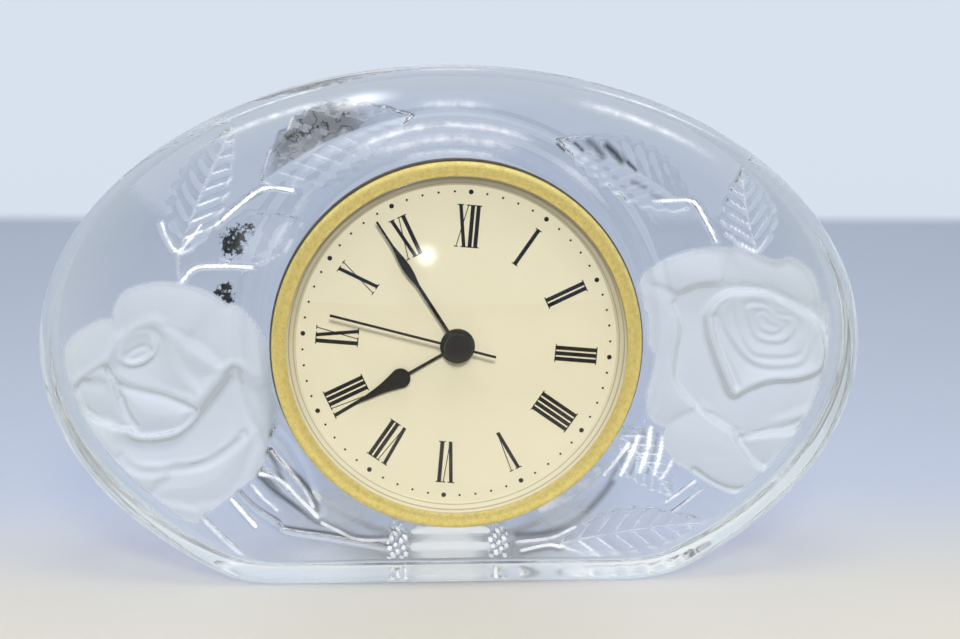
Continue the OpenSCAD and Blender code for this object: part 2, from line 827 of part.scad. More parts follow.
module oscillator_can() {
    can_r = 1;
    can_len = 6;
    color("silver") in_insert()
        translate([board_low[0] + 3, board_low[1] + 2, board_z + board_t + can_r])
            rotate([-90, 0, 0]) cylinder(r = can_r, h = can_len, $fn = 32);
}

// Cradle: a trough round the front of the battery, closed at both ends
module battery_cradle() {
    end_gap = contact_t + 0.2;
    half_len = battery_len / 2 + end_gap;
    front = middle_plate_z;
    trough_r = battery_d / 2 + battery_gap;
    color("ivory") in_insert()
        difference() {
            intersection() {
                translate([-half_len - 1, battery_y - battery_d / 2 - 0.4, battery_z - 1])
                    cube([2 * half_len + 2, battery_d + 0.9, front - battery_z + 1]);
                hole(case_in_r - fit, battery_z, front);
            }
            translate([-half_len, battery_y, battery_z]) rotate([0, 90, 0])
                cylinder(r = trough_r, h = 2 * half_len);
            translate([-half_len, battery_y - trough_r, battery_z - 2])
                cube([2 * half_len, 2 * trough_r, 2]);
            for (p = concat(pillar_at, post_at))
                translate(p) hole(pillar_r + fit, battery_z, front, 48);
        }
}

module battery() {
    color("silver") in_insert()
        translate([-battery_len / 2, battery_y, battery_z]) rotate([0, 90, 0]) {
            cylinder(r = battery_d / 2, h = battery_len - nub_t);
            cylinder(r = nub_r, h = battery_len, $fn = 48);
        }
}

// A contact: a flat strip that stands against one end of the battery
module contact(side) {
    strip = 5;
    low = -2;
    top = battery_d / 2 - 1;
    translate([side * (battery_len / 2 + contact_t / 2), battery_y, battery_z + (low + top) / 2])
        cube([contact_t, strip, top - low], center = true);
}

module battery_contact_positive() {
    color("goldenrod") in_insert() contact(1);
}

module battery_contact_negative() {
    color("goldenrod") in_insert() contact(-1);
}

module hatch_outline(grow) {
    corner = 2;
    size = hatch_size + [2 * grow, 2 * grow];
    translate([0, hatch_y]) intersection() {
        union() {
            square([size[0] - 2 * corner, size[1]], center = true);
            square([size[0], size[1] - 2 * corner], center = true);
            for (x = [-1, 1], y = [-1, 1])
                translate([x * (size[0] / 2 - corner), y * (size[1] / 2 - corner)])
                    circle(r = corner, $fn = 32);
        }
        translate([0, -hatch_y]) circle(r = case_in_r - 1.6 + grow);
    }
}

// Back cover: closes the case, with an opening for the battery hatch
module back_cover() {
    color("gainsboro") in_insert()
        difference() {
            disc(case_in_r - fit, cover_back, cover_front);
            translate([0, 0, cover_back - 1]) linear_extrude(cover_t + 2)
                hatch_outline(hatch_gap);
            translate(setting_at) hole(1 + run_gap, cover_back, cover_front, small_fn);
            for (p = pillar_at) translate(p) {
                hole(screw_r + 0.1, cover_back, cover_front, small_fn);
                translate([0, 0, cover_back - 1])
                    cylinder(r = screw_head_r + 0.15, h = 1 + screw_head_t, $fn = small_fn);
            }
        }
}

module battery_hatch() {
    grip_n = 5;
    color("gainsboro") in_insert()
        difference() {
            translate([0, 0, cover_back]) linear_extrude(cover_t) hatch_outline(0);
            for (i = [0:grip_n - 1])
                translate([-3, hatch_y - 3 + 1.5 * i - 0.3, cover_back - 1])
                    cube([6, 0.6, 1.4]);
        }
}

// Setting knob with its shaft and the pinion that drives the minute wheel
module setting_knob() {
    shaft_r = 1;
    knob_front = cover_back - knob_gap;
    pinion_top = minute_wheel_z + wheel_t + pinion_extra;
    turn = mesh_turn(setting_dir, minute_n, mesh_turn(minute_dir, cannon_n, 0, minute_n),
        setting_n);
    flutes = 18;
    color("gainsboro") in_insert() translate(setting_at) {
        difference() {
            disc(knob_r, knob_front - knob_t, knob_front, 0, 72);
            for (i = [0:flutes - 1])
                rotate([0, 0, i * 360 / flutes]) translate([knob_r + 0.15, 0])
                    hole(0.45, knob_front - knob_t, knob_front, 16);
        }
        disc(shaft_r, knob_front - eps, minute_wheel_z - pinion_extra + eps, 0, 32);
        gear(setting_n, motion_m, minute_wheel_z - pinion_extra, pinion_top, 0, turn);
        disc(arbor_r, pinion_top - eps, front_plate_back + front_plate_t / 2, 0, small_fn);
    }
}

crystal_block();
retaining_band();
insert_case();
bezel();
lens();
reflector_ring();
dial();
hour_hand();
minute_hand();
second_hand();
front_plate();
middle_plate();
rear_plate();
movement_screws();
hour_wheel();
minute_wheel();
minute_arbor();
centre_wheel();
third_wheel();
seconds_wheel();
intermediate_wheel();
rotor();
stator();
coil_core();
coil_bobbin();
coil_winding();
circuit_board();
control_chip();
oscillator_can();
battery_cradle();
battery();
battery_contact_positive();
battery_contact_negative();
back_cover();
battery_hatch();
case_screws();
setting_knob();
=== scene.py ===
# %% [markdown]
# # A crystal desk clock
# An oval block of moulded crystal stands on its flat base. Two frosted roses
# and clear leaves are pressed into its back, so they are seen through the
# glass. A gold-rimmed quartz clock sits in a round hole in its middle.
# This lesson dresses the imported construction: it keeps the pieces that are
# already right and gives them finishes, makes eight visible pieces anew and
# prints the dial.

# %% The frame
import json
import math

import bpy
import numpy as np
from mathutils import Matrix, Vector


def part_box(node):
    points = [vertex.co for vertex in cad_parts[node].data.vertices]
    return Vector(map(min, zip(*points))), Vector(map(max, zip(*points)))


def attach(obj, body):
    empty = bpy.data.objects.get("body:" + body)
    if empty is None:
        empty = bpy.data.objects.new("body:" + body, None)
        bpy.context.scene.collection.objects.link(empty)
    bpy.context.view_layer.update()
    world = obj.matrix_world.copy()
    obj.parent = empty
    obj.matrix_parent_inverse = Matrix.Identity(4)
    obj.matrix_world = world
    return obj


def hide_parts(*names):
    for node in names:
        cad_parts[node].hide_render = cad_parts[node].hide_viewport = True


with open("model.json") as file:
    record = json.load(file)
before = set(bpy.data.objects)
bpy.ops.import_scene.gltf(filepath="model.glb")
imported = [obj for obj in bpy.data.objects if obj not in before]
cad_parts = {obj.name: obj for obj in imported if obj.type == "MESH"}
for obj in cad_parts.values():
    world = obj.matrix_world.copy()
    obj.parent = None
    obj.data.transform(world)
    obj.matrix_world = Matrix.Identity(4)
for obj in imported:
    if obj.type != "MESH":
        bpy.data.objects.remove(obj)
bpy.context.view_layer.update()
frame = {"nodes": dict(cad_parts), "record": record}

print(len(frame["nodes"]), "pieces come with the frame")

# %% [markdown]
# ## Sizes
# The construction is in metres. A watchmaker thinks in millimetres, so each
# shape below is worked out in millimetres and scaled once, when its mesh is
# made. Where a size belongs to the construction, it is read from the boxes of
# the frame's pieces, so that the two can't drift apart.

# %% Sizes read from the frame
MM = 0.001


def box_mm(node):
    """Lowest and highest corner of a CAD piece, in millimetres."""
    return [np.array(corner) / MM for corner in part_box(node)]


crystal_low, crystal_high = box_mm("crystal_block")
half_w = (crystal_high[0] - crystal_low[0]) / 2
front_y = crystal_low[1]
back_y = crystal_high[1]
top_z = crystal_high[2]
bezel_low, bezel_high = box_mm("bezel")
bezel_r = (bezel_high[0] - bezel_low[0]) / 2
hub_h = (bezel_high[2] + bezel_low[2]) / 2
print("crystal", half_w * 2, "x", top_z, "x", back_y - front_y, "hub at", hub_h, "bezel", bezel_r)

# %% Sizes of the crystal
oval_half_h = 54.5
oval_centre_h = top_z - oval_half_h
rim_r = 2.5
base_rim_r = 0.9
relief_h = 2.0
ground_y = back_y - relief_h
hole_r = 30.25
boss_top_r = hole_r + 6
boss_foot_r = hole_r + 12
corner_r = 3.0

# %% [markdown]
# ## The insert's own frame
# The clock insert is a separate product that the maker pushes into the hole by
# hand, so its twelve isn't quite at the top: it is turned a few degrees. Its
# pieces are drawn upright in their own frame, where x is right, y is up and z
# comes forwards from the crystal's face, and one function turns them into place.

# %% From the insert's frame to the clock's
dial_turn = math.radians(4.7)


def in_insert(points):
    """Turns points clockwise by dial_turn about the hub and stands them up: local z runs along -Y."""
    x, y, z = np.asarray(points, dtype=float).T
    across = x * math.cos(dial_turn) + y * math.sin(dial_turn)
    up = y * math.cos(dial_turn) - x * math.sin(dial_turn)
    return np.column_stack([across, front_y - z, hub_h + up])


# %% [markdown]
# ## Mesh helpers
# Nearly every new surface is a grid: a function of two parameters gives its
# points, row by row, and the faces only say which four neighbours make a cell.
# A grid can be closed in either direction, which gives tubes, rings and tori.

# %% Faces of a grid
def grid_faces(rows, columns, close_rows=False, close_columns=False):
    """Cell (i, j) joins (i, j), (i, j+1), (i+1, j+1) and (i+1, j). A closed direction wraps round."""
    i = np.arange(rows if close_rows else rows - 1)[:, None]
    j = np.arange(columns if close_columns else columns - 1)[None, :]
    this_row = i * columns
    next_row = (i + 1) % rows * columns
    next_j = (j + 1) % columns
    corners = [this_row + j, this_row + next_j, next_row + next_j, next_row + j]
    return np.stack(corners, axis=-1).reshape(-1, 4).tolist()


# %% From arrays to an object
def join(parts):
    """Stacks (points, faces) pairs into one pair. Each part's faces move on by the points before it."""
    points = []
    faces = []
    count = 0
    for part_points, part_faces in parts:
        points.append(part_points)
        faces += [[k + count for k in face] for face in part_faces]
        count += len(part_points)
    return np.concatenate(points), faces


def mesh_piece(name, points, faces, sharp=40):
    """Makes a mesh from points in millimetres. It shades smoothly, but for edges above sharp degrees."""
    mesh = bpy.data.meshes.new(name)
    mesh.from_pydata((np.asarray(points) * MM).tolist(), [], faces)
    mesh.validate()
    mesh.shade_smooth()
    mesh.set_sharp_from_angle(angle=math.radians(sharp))
    piece = bpy.data.objects.new(name, mesh)
    bpy.context.scene.collection.objects.link(piece)
    print(name, len(points), "points,", sum(len(face) - 2 for face in faces), "triangles")
    return piece


def place(piece, body, slot, material, *nodes):
    """Rides a piece on its body, hides the construction's pieces that it stands for and gives it its
    finish.
    """
    piece.data.materials.append(material)
    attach(piece, body)
    if nodes:
        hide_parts(*nodes)


# %% A turned piece
def lathe(profile, steps, closed=True):
    """Turns a profile of (radius, height) points round the z axis, from the x axis on.

    A closed profile makes a ring. An open one starts and ends on the axis, and its end points are single.
    The material is on the profile's left, seen with the radius to the right and z up, so that the faces
    look outwards.
    """
    profile = np.asarray(profile, dtype=float)
    inner = profile if closed else profile[1:-1]
    angle = np.linspace(0, 2 * math.pi, steps, endpoint=False)[None, :]
    radius = inner[:, :1]
    rings = np.broadcast_arrays(radius * np.cos(angle), radius * np.sin(angle), inner[:, 1:])
    points = np.stack(rings, axis=-1).reshape(-1, 3)
    faces = grid_faces(len(inner), steps, closed, True)
    if not closed:
        first = np.arange(steps)
        last = first + (len(inner) - 1) * steps
        faces += np.column_stack([np.roll(first, -1), first, np.full(steps, len(points))]).tolist()
        faces += np.column_stack([last, np.roll(last, -1), np.full(steps, len(points) + 1)]).tolist()
        points = np.concatenate([points, [[0, 0, profile[0, 1]], [0, 0, profile[-1, 1]]]])
    return points, faces


def turned_piece(name, profile, steps, sharp, closed=True):
    """Turns a profile in the insert's frame and stands the piece in its place."""
    points, faces = lathe(profile, steps, closed)
    return mesh_piece(name, in_insert(points), faces, sharp)


# %% An arc for a profile
def arc(centre, radii, start, end, steps):
    """Points on an ellipse: centre + (radii x cos, radii y sin) from start to end degrees."""
    angle = np.radians(np.linspace(start, end, steps))
    return [(centre[0] + radii[0] * math.cos(a), centre[1] + radii[1] * math.sin(a)) for a in angle]


# %% [markdown]
# ## Shader maths as sums
# A finish that varies is a small sum: noise times a strength plus a colour.
# Wired by hand it becomes a web of Math nodes. One class wraps a socket, so
# that Python's own signs add those nodes, and another makes any other node
# from its type, its sockets and its settings.

# %% A value and its signs
class Value:
    """A number or a colour that varies over a surface. Each sign adds one Math node."""

    def __init__(self, finish, socket):
        self.finish = finish
        self.socket = socket

    def combined(self, operation, first, second):
        return self.finish.node("ShaderNodeMath", {0: first, 1: second}, operation=operation)

    def __add__(self, other):
        return self.combined("ADD", self, other)

    def __radd__(self, other):
        return self.combined("ADD", other, self)

    def __sub__(self, other):
        return self.combined("SUBTRACT", self, other)

    def __rsub__(self, other):
        return self.combined("SUBTRACT", other, self)

    def __mul__(self, other):
        return self.combined("MULTIPLY", self, other)

    def __rmul__(self, other):
        return self.combined("MULTIPLY", other, self)

    def __pow__(self, other):
        return self.combined("POWER", self, other)

    def __abs__(self):
        return self.combined("ABSOLUTE", self, 0)

    def at_least(self, other):
        return self.combined("MAXIMUM", self, other)


# %% A finish and its nodes
class Finish:
    """One material, lamp or world, as a tree of nodes."""

    def __init__(self, owner):
        self.owner = owner
        owner.use_nodes = True
        self.tree = owner.node_tree
        self.tree.nodes.clear()

    def node(self, kind, sockets=None, out=0, **settings):
        """Adds a node and gives its sockets values or links. out says which of its outputs is wanted."""
        made = self.tree.nodes.new(kind)
        for name, value in settings.items():
            setattr(made, name, value)
        for key, value in (sockets or {}).items():
            if isinstance(value, Value):
                self.tree.links.new(value.socket, made.inputs[key])
            else:
                made.inputs[key].default_value = value
        return Value(self, made.outputs[out]) if len(made.outputs) else None

    def mix(self, factor, first, second):
        """A colour between two colours."""
        return self.node("ShaderNodeMix", {0: factor, 6: first, 7: second}, out=2, data_type="RGBA")

    def mix_shader(self, factor, first, second):
        return self.node("ShaderNodeMixShader", {0: factor, 1: first, 2: second})

    def coordinates(self):
        return self.node("ShaderNodeTexCoord", out="Object")

    def along(self, axis, vector=None):
        """One part, X, Y or Z, of a vector or else of the object's own coordinates."""
        return self.node("ShaderNodeSeparateXYZ", {"Vector": vector or self.coordinates()}, out=axis)

    def ray(self, question):
        """The light path's answer about a ray, such as Is Shadow Ray."""
        return self.node("ShaderNodeLightPath", out=question)

    def noise(self, scale, detail=3.0, roughness=0.5, stretch=None):
        """Noise from 0 to 1 on the object's own coordinates, in metres. stretch squeezes it on an axis."""
        where = self.coordinates()
        if stretch:
            where = self.node("ShaderNodeMapping", {"Vector": where, "Scale": stretch})
        sockets = {"Vector": where, "Scale": scale, "Detail": detail, "Roughness": roughness}
        return self.node("ShaderNodeTexNoise", sockets)

    def attribute(self, name):
        return self.node("ShaderNodeAttribute", out="Fac", attribute_name=name)

    def smooth_step(self, value, low, high):
        """0 at low and 1 at high, with an S-shaped curve between them. low may lie above high."""
        sockets = {"Value": value, "From Min": low, "From Max": high}
        return self.node("ShaderNodeMapRange", sockets, interpolation_type="SMOOTHSTEP")

    def bump(self, height, distance, strength):
        return self.node("ShaderNodeBump", {"Height": height, "Distance": distance, "Strength": strength})

    def principled(self, **sockets):
        named = {key.replace("_", " "): value for key, value in sockets.items()}
        return self.node("ShaderNodeBsdfPrincipled", named)

    def finish(self, shader, kind="ShaderNodeOutputMaterial"):
        self.node(kind, {"Surface": shader})
        return self.owner


def new_finish(name):
    return Finish(bpy.data.materials.new(name))


def shade(red, green, blue):
    """A display colour from 0 to 255 as the linear colour that the shaders use."""
    channels = [c / 255 for c in (red, green, blue)]
    linear = [c / 12.92 if c <= 0.04045 else ((c + 0.055) / 1.055) ** 2.4 for c in channels]
    return (*linear, 1.0)


# %% [markdown]
# ## Camera
# The photograph is taken from a little to the left of the clock and a little
# above it, looking down nine degrees. The camera is built from the three
# directions it has: right, up and backwards.

# %% Camera
camera_at = np.array([-21.4, -345.2, 106.3])
pan, tilt, roll = (math.radians(a) for a in (4.44, 9.10, 0.56))
forward = np.array([math.sin(pan) * math.cos(tilt), math.cos(pan) * math.cos(tilt), -math.sin(tilt)])
level_right = np.array([math.cos(pan), -math.sin(pan), 0])
level_up = np.cross(level_right, forward)
right = math.cos(roll) * level_right + math.sin(roll) * level_up
up = math.cos(roll) * level_up - math.sin(roll) * level_right

camera_data = bpy.data.cameras.new("camera")
camera_data.sensor_width = 36
camera_data.lens = 65.6
camera = bpy.data.objects.new("camera", camera_data)
turned = Matrix([[right[k], up[k], -forward[k]] for k in range(3)]).to_4x4()
camera.matrix_world = Matrix.Translation(camera_at * MM) @ turned
bpy.context.scene.collection.objects.link(camera)
bpy.context.scene.camera = camera
bpy.context.scene.view_settings.view_transform = "Standard"
print("camera", np.linalg.norm(camera_at), "mm from the middle of the base")

# %% [markdown]
# ## Light and stage
# Clear glass has no colour of its own: it shows what is round it. So the room
# matters more here than on any other material. Ahead and above it is pale, as
# by day, and behind the camera it is darker, which puts the grey lines into the
# glass. Light that has gone through glass meets a duller room. This room is
# shown to the camera and to rays that mirror or pass through, and plain soft
# light falls on everything else.

# %% The room
pale = shade(216, 226, 238)
haze = shade(186, 196, 214)
dusk = shade(116, 122, 134)
gloom = shade(168, 178, 196)
room = Finish(bpy.data.worlds.new("room"))
bpy.context.scene.world = room.owner
direction = room.node("ShaderNodeTexCoord", out="Generated")
ahead = room.along("Y", direction)
above = room.along("Z", direction)
lean = ahead + above * 0.55
bent = room.smooth_step(room.ray("Transmission Depth"), 0, 1)
wall = room.mix(room.smooth_step(lean, -0.5, 0.25), dusk, pale)
wall = room.mix(room.smooth_step(lean, 0.25, -0.5) * bent, wall, gloom)
under = room.smooth_step(above, -0.05, -0.5).at_least(room.smooth_step(above, 0.3, 0.05) * bent)
wall = room.mix(under, wall, haze)
ceiling = room.smooth_step(above, 0.34, 0.6) * room.smooth_step(ahead, -0.25, 0.1)
wall = room.mix(ceiling, wall, shade(255, 255, 255))
seen = room.ray("Is Camera Ray") + room.ray("Is Glossy Ray")
seen = seen.at_least(room.ray("Is Transmission Ray"))
lit = room.node("ShaderNodeBackground", {"Color": shade(240, 240, 240), "Strength": 0.36})
shown = room.node("ShaderNodeBackground", {"Color": wall, "Strength": 1.0})
room.finish(room.mix_shader(seen, lit, shown), "ShaderNodeOutputWorld")

# %% The floor
# Behind the clock the floor is cooler, and far away it fades out. In front of the clock it is
# darker, so that the lens mirrors nothing bright over the black hands.
fade_at = 0.69
floor_half = 1600.0
floor_drop = 0.2
ground = new_finish("floor")
depth = ground.along("Y")
floor_tone = ground.mix(ground.smooth_step(depth, -0.045, 0.08), shade(214, 211, 202), shade(192, 203, 224))
floor_tone = ground.mix(ground.smooth_step(depth, 0.1, fade_at), floor_tone, shade(190, 203, 224))
floor_tone = ground.mix(ground.smooth_step(depth, -0.06, -0.14), floor_tone, shade(132, 126, 116))
matt = ground.principled(Base_Color=floor_tone, Roughness=0.9)
gone = ground.node("ShaderNodeBsdfTransparent")
faded = ground.smooth_step(depth, fade_at - 0.03, fade_at + 0.05)
signs = [(-1, -1), (1, -1), (1, 1), (-1, 1)]
corners = [(x * floor_half, y * floor_half, -floor_drop) for x, y in signs]
floor = mesh_piece("floor", corners, [[0, 1, 2, 3]])
floor.data.materials.append(ground.finish(ground.mix_shader(faded, matt, gone)))

# %% Lamps
clock_middle = Vector((0, 0, 0.05))


def lamp(name, at, size, watts, mirrored=False):
    """A round area lamp at a place in metres, turned to the clock. If it is mirrored, gloss shows it."""
    light = bpy.data.lights.new(name, "AREA")
    light.shape = "DISK"
    light.size = size
    light.energy = watts
    holder = bpy.data.objects.new(name, light)
    facing = (clock_middle - Vector(at)).to_track_quat("-Z", "Y")
    holder.matrix_world = Matrix.Translation(at) @ facing.to_matrix().to_4x4()
    holder.visible_glossy = mirrored
    holder.visible_transmission = False
    bpy.context.scene.collection.objects.link(holder)
    return light


lamp("key", (0.0, -0.62, 0.38), 0.14, 3.4)
lamp("overhead", (0.0, -0.22, 0.85), 0.4, 2.6)
lamp("backlight", (0.1, 0.9, 0.8), 0.9, 3.0)
flash = lamp("flash", (-0.0196, -0.36, 0.107), 0.06, 0.04, mirrored=True)

# %% The flash fades from its middle to its edge
bulb = Finish(flash)
spot = bulb.node("ShaderNodeNewGeometry", out="Parametric")
sideways = bulb.along("X", spot) - 0.5
upwards = bulb.along("Y", spot) - 0.5
from_middle = (sideways * sideways + upwards * upwards) ** 0.5
glare = bulb.smooth_step(from_middle, 0.5, 0.0) ** 3 * 4
bulb.finish(bulb.node("ShaderNodeEmission", {"Strength": glare}), "ShaderNodeOutputLight")

# %% [markdown]
# ## The crystal
# The block is pressed from molten glass between two dies, so its front is flat
# and polished and its back carries the relief. It is one grid that goes all the
# way round: the rings of the grid follow the hole at the inside and the oval at
# the outside, and run over the back, the rim, the side, the front and the hole's
# wall until they meet. That makes it closed by construction, and every point of
# the back can be lifted by a height that is worked out from where it lies.

# %% The oval's outline
def soft_minimum(first, second, width):
    """The lower of two values, rounded where they cross: less by (width - gap)^2 / 4 width."""
    gap = np.abs(first - second)
    return np.minimum(first, second) - np.maximum(width - gap, 0) ** 2 / (4 * width)


def outline_radius(angle, inset):
    """Distance from the hub to the oval moved inwards by inset, with its flat base and rounded corners.

    The ray (r cos, hub_h + r sin) meets the ellipse where A r^2 + 2 B r + C = 0, and the base where
    r = -hub_h / sin.
    """
    cos, sin = np.cos(angle), np.sin(angle)
    half_across, half_up = half_w - inset, oval_half_h - inset
    lift = hub_h - oval_centre_h
    a = (cos / half_across) ** 2 + (sin / half_up) ** 2
    b = sin * lift / half_up ** 2
    c = (lift / half_up) ** 2 - 1
    oval = (-b + np.sqrt(b * b - a * c)) / a
    base = (hub_h - inset) / np.maximum(-sin, 1e-6)
    return soft_minimum(oval, base, corner_r)


# %% Rays spread evenly
ray_count = 900
fine = np.linspace(-math.pi, math.pi, 7201)
midway = (hole_r + outline_radius(fine, rim_r)) / 2
stride = np.hypot(np.diff(midway * np.cos(fine)), np.diff(midway * np.sin(fine)))
walked = np.concatenate([[0], np.cumsum(stride)])
rays = np.interp(np.linspace(0, walked[-1], ray_count, endpoint=False), walked, fine)
print("rays", walked[-1] / ray_count, "mm apart")

# %% [markdown]
# ### Shapes of the relief
# A die sinker cuts a rose petal by petal. Each petal is an outline, and what
# matters to the eye is how far a point lies inside it: at the edge the petal
# stands proud, and inwards it sinks under the next one. So the tool for a petal
# is the distance to a smooth closed curve, and the petals are laid over one
# another from the outermost to the bud.

# %% Distance to a curve
def smooth_curve(points, closed=True, steps=8):
    """A Catmull-Rom curve: between two points it is the cubic whose slopes follow their neighbours."""
    p = np.array(points, dtype=float)
    if closed:
        before, start, end, after = np.roll(p, 1, 0), p, np.roll(p, -1, 0), np.roll(p, -2, 0)
    else:
        long = np.vstack([2 * p[0] - p[1], p, 2 * p[-1] - p[-2]])
        before, start, end, after = long[:-3], long[1:-2], long[2:-1], long[3:]
    t = np.linspace(0, 1, steps, endpoint=False)[None, :, None]
    before, start, end, after = (q[:, None, :] for q in (before, start, end, after))
    curve = 0.5 * (2 * start + (end - before) * t + (2 * before - 5 * start + 4 * end - after) * t ** 2
                   + (3 * start - before - 3 * end + after) * t ** 3)
    curve = curve.reshape(-1, 2)
    return curve if closed else np.vstack([curve, p[-1]])


def distance_to(points, curve, closed=True):
    """Distance of each point to a chain of segments; on a closed chain it is negative outside."""
    ends = np.roll(curve, -1, 0) if closed else curve[1:]
    starts = curve if closed else curve[:-1]
    along = ends - starts
    away = points[:, None, :] - starts[None]
    share = np.clip((away * along).sum(-1) / np.maximum((along ** 2).sum(-1), 1e-9), 0, 1)
    distance = np.sqrt(((away - share[..., None] * along) ** 2).sum(-1).min(1))
    if not closed:
        return distance
    above_start = points[:, None, 1] >= starts[None, :, 1]
    above_end = points[:, None, 1] >= ends[None, :, 1]
    side = along[:, 0] * away[..., 1] - along[:, 1] * away[..., 0]
    crossing = (above_start != above_end) & ((side > 0) == (along[:, 1] > 0))
    return np.where(crossing.sum(1) % 2 == 1, distance, -distance)


def near(points, curve, margin):
    """True for the points inside the curve's box, grown by a margin."""
    return ((points > curve.min(0) - margin) & (points < curve.max(0) + margin)).all(1)


def rise(value, low, high):
    """0 below low, 1 above high and an S-shaped curve between them."""
    t = np.clip((value - low) / (high - low), 0, 1)
    return t * t * (3 - 2 * t)


# %% [markdown]
# ### The roses
# The roses stand proud of the back. In each, the outer petals come first and
# the bud last. A petal has one of two kinds of edge. A free edge lies over its
# neighbours and sinks towards the middle of the petal. A nested petal lies low
# inside the lip of the one round it, so a lip is raised outside its outline.

# %% Petals
def petal(outline, edge, middle, reach, fold=0.8, lip=0, lip_reach=1):
    """A petal: its outline, its heights at the edge and in the middle, and the distance between them.

    fold is half the width over which its edge goes over what lies below. lip and lip_reach are the height
    and the reach of the lip round it.
    """
    return outline, edge, middle, reach, fold, lip, lip_reach


LEFT_ROSE = [
    petal([(-67.5, 50.5), (-65.5, 56), (-60, 58), (-55.5, 58), (-49.5, 56.5), (-45, 53.5), (-41.5, 50.5),
           (-50.5, 38), (-64.5, 40.5)], 0.2, -0.9, 5),
    petal([(-67.5, 50.5), (-73, 49), (-76.5, 45.5), (-77.5, 39), (-76.5, 34), (-74, 28), (-64.5, 30),
           (-62.5, 42.5)], 0.1, -1.1, 5),
    petal([(-45, 53.5), (-40.5, 51), (-37.5, 45.5), (-36.5, 37), (-40.5, 33), (-50.5, 32), (-54, 40),
           (-52.5, 46.5)], 0.1, -0.9, 5, fold=2.6),
    petal([(-50, 11), (-54.5, 9.5), (-59, 11.5), (-63.5, 13.5), (-69, 19), (-75, 28), (-66.5, 32),
           (-53, 26)], 0.2, -1.2, 6),
    petal([(-39.5, 38.5), (-36, 34), (-35.5, 30.5), (-37, 26), (-38.5, 20), (-43.5, 15.5), (-50, 11),
           (-56, 15.5), (-55, 26)], 0.0, -0.9, 6),
    petal([(-60.5, 14.5), (-58.5, 18), (-53, 20.5), (-43, 26.5), (-38.5, 28), (-43.5, 15.5), (-50, 12.5),
           (-56, 13)], 0.4, -0.7, 4, fold=1.2),
    petal([(-67.5, 31), (-67, 25), (-65, 22.5), (-62.5, 21), (-56.5, 21), (-50, 22), (-46.5, 24),
           (-43, 26.5), (-38.5, 28), (-38.3, 34), (-40, 38.5), (-43.3, 41.3), (-46.5, 40), (-52, 40),
           (-60, 42), (-67, 38)], 0.2, 1.1, 2.5, fold=0.9),
    petal([(-74.5, 37.5), (-69, 42.5), (-66.5, 46.5), (-63.5, 49), (-59.5, 50.5), (-57, 49), (-54.5, 46),
           (-49.5, 42.5), (-46, 39.5), (-49.5, 34.5), (-54, 29), (-57.5, 27), (-63, 27), (-66, 29),
           (-70, 31)], -1.4, 0.6, 2.4, fold=2.2, lip=0.6, lip_reach=3),
    petal([(-74.5, 37.5), (-74.5, 34.5), (-72.5, 31.5), (-68.5, 30), (-65, 28.5), (-64, 34), (-65.5, 38.5),
           (-69, 41.5)], 1.8, 0.2, 2.2, fold=0.7),
    petal([(-73, 39), (-69, 42.5), (-66.5, 46), (-63.5, 48.4), (-59.5, 49.6), (-57.2, 48), (-56, 44.5),
           (-54, 40), (-51, 35), (-58, 33), (-66.5, 35.5), (-69, 38.5)], -0.8, 1.0, 2.4, fold=1.5, lip=0.3,
           lip_reach=1.5),
    petal([(-69, 40.5), (-66.5, 37.5), (-62, 36), (-58, 35), (-54, 33.5), (-51.5, 32), (-54.5, 28.5),
           (-59, 27.2), (-63, 27.2), (-65, 29), (-66.5, 34)], 2.0, -0.1, 1.6, fold=0.6),
    petal([(-66.8, 42.5), (-66, 45.6), (-63.7, 47.8), (-60.2, 48.2), (-58.8, 45.6), (-60.4, 42.4),
           (-63.8, 41)], -0.2, 0.8, 1.3, fold=0.6, lip=0.7, lip_reach=1.2),
    petal([(-65.3, 43.3), (-63.2, 44.9), (-61, 45.4), (-60.2, 44.2), (-62.2, 42.7), (-64.4, 42.2)], 1.5,
           0.5, 0.9, fold=0.5),
]
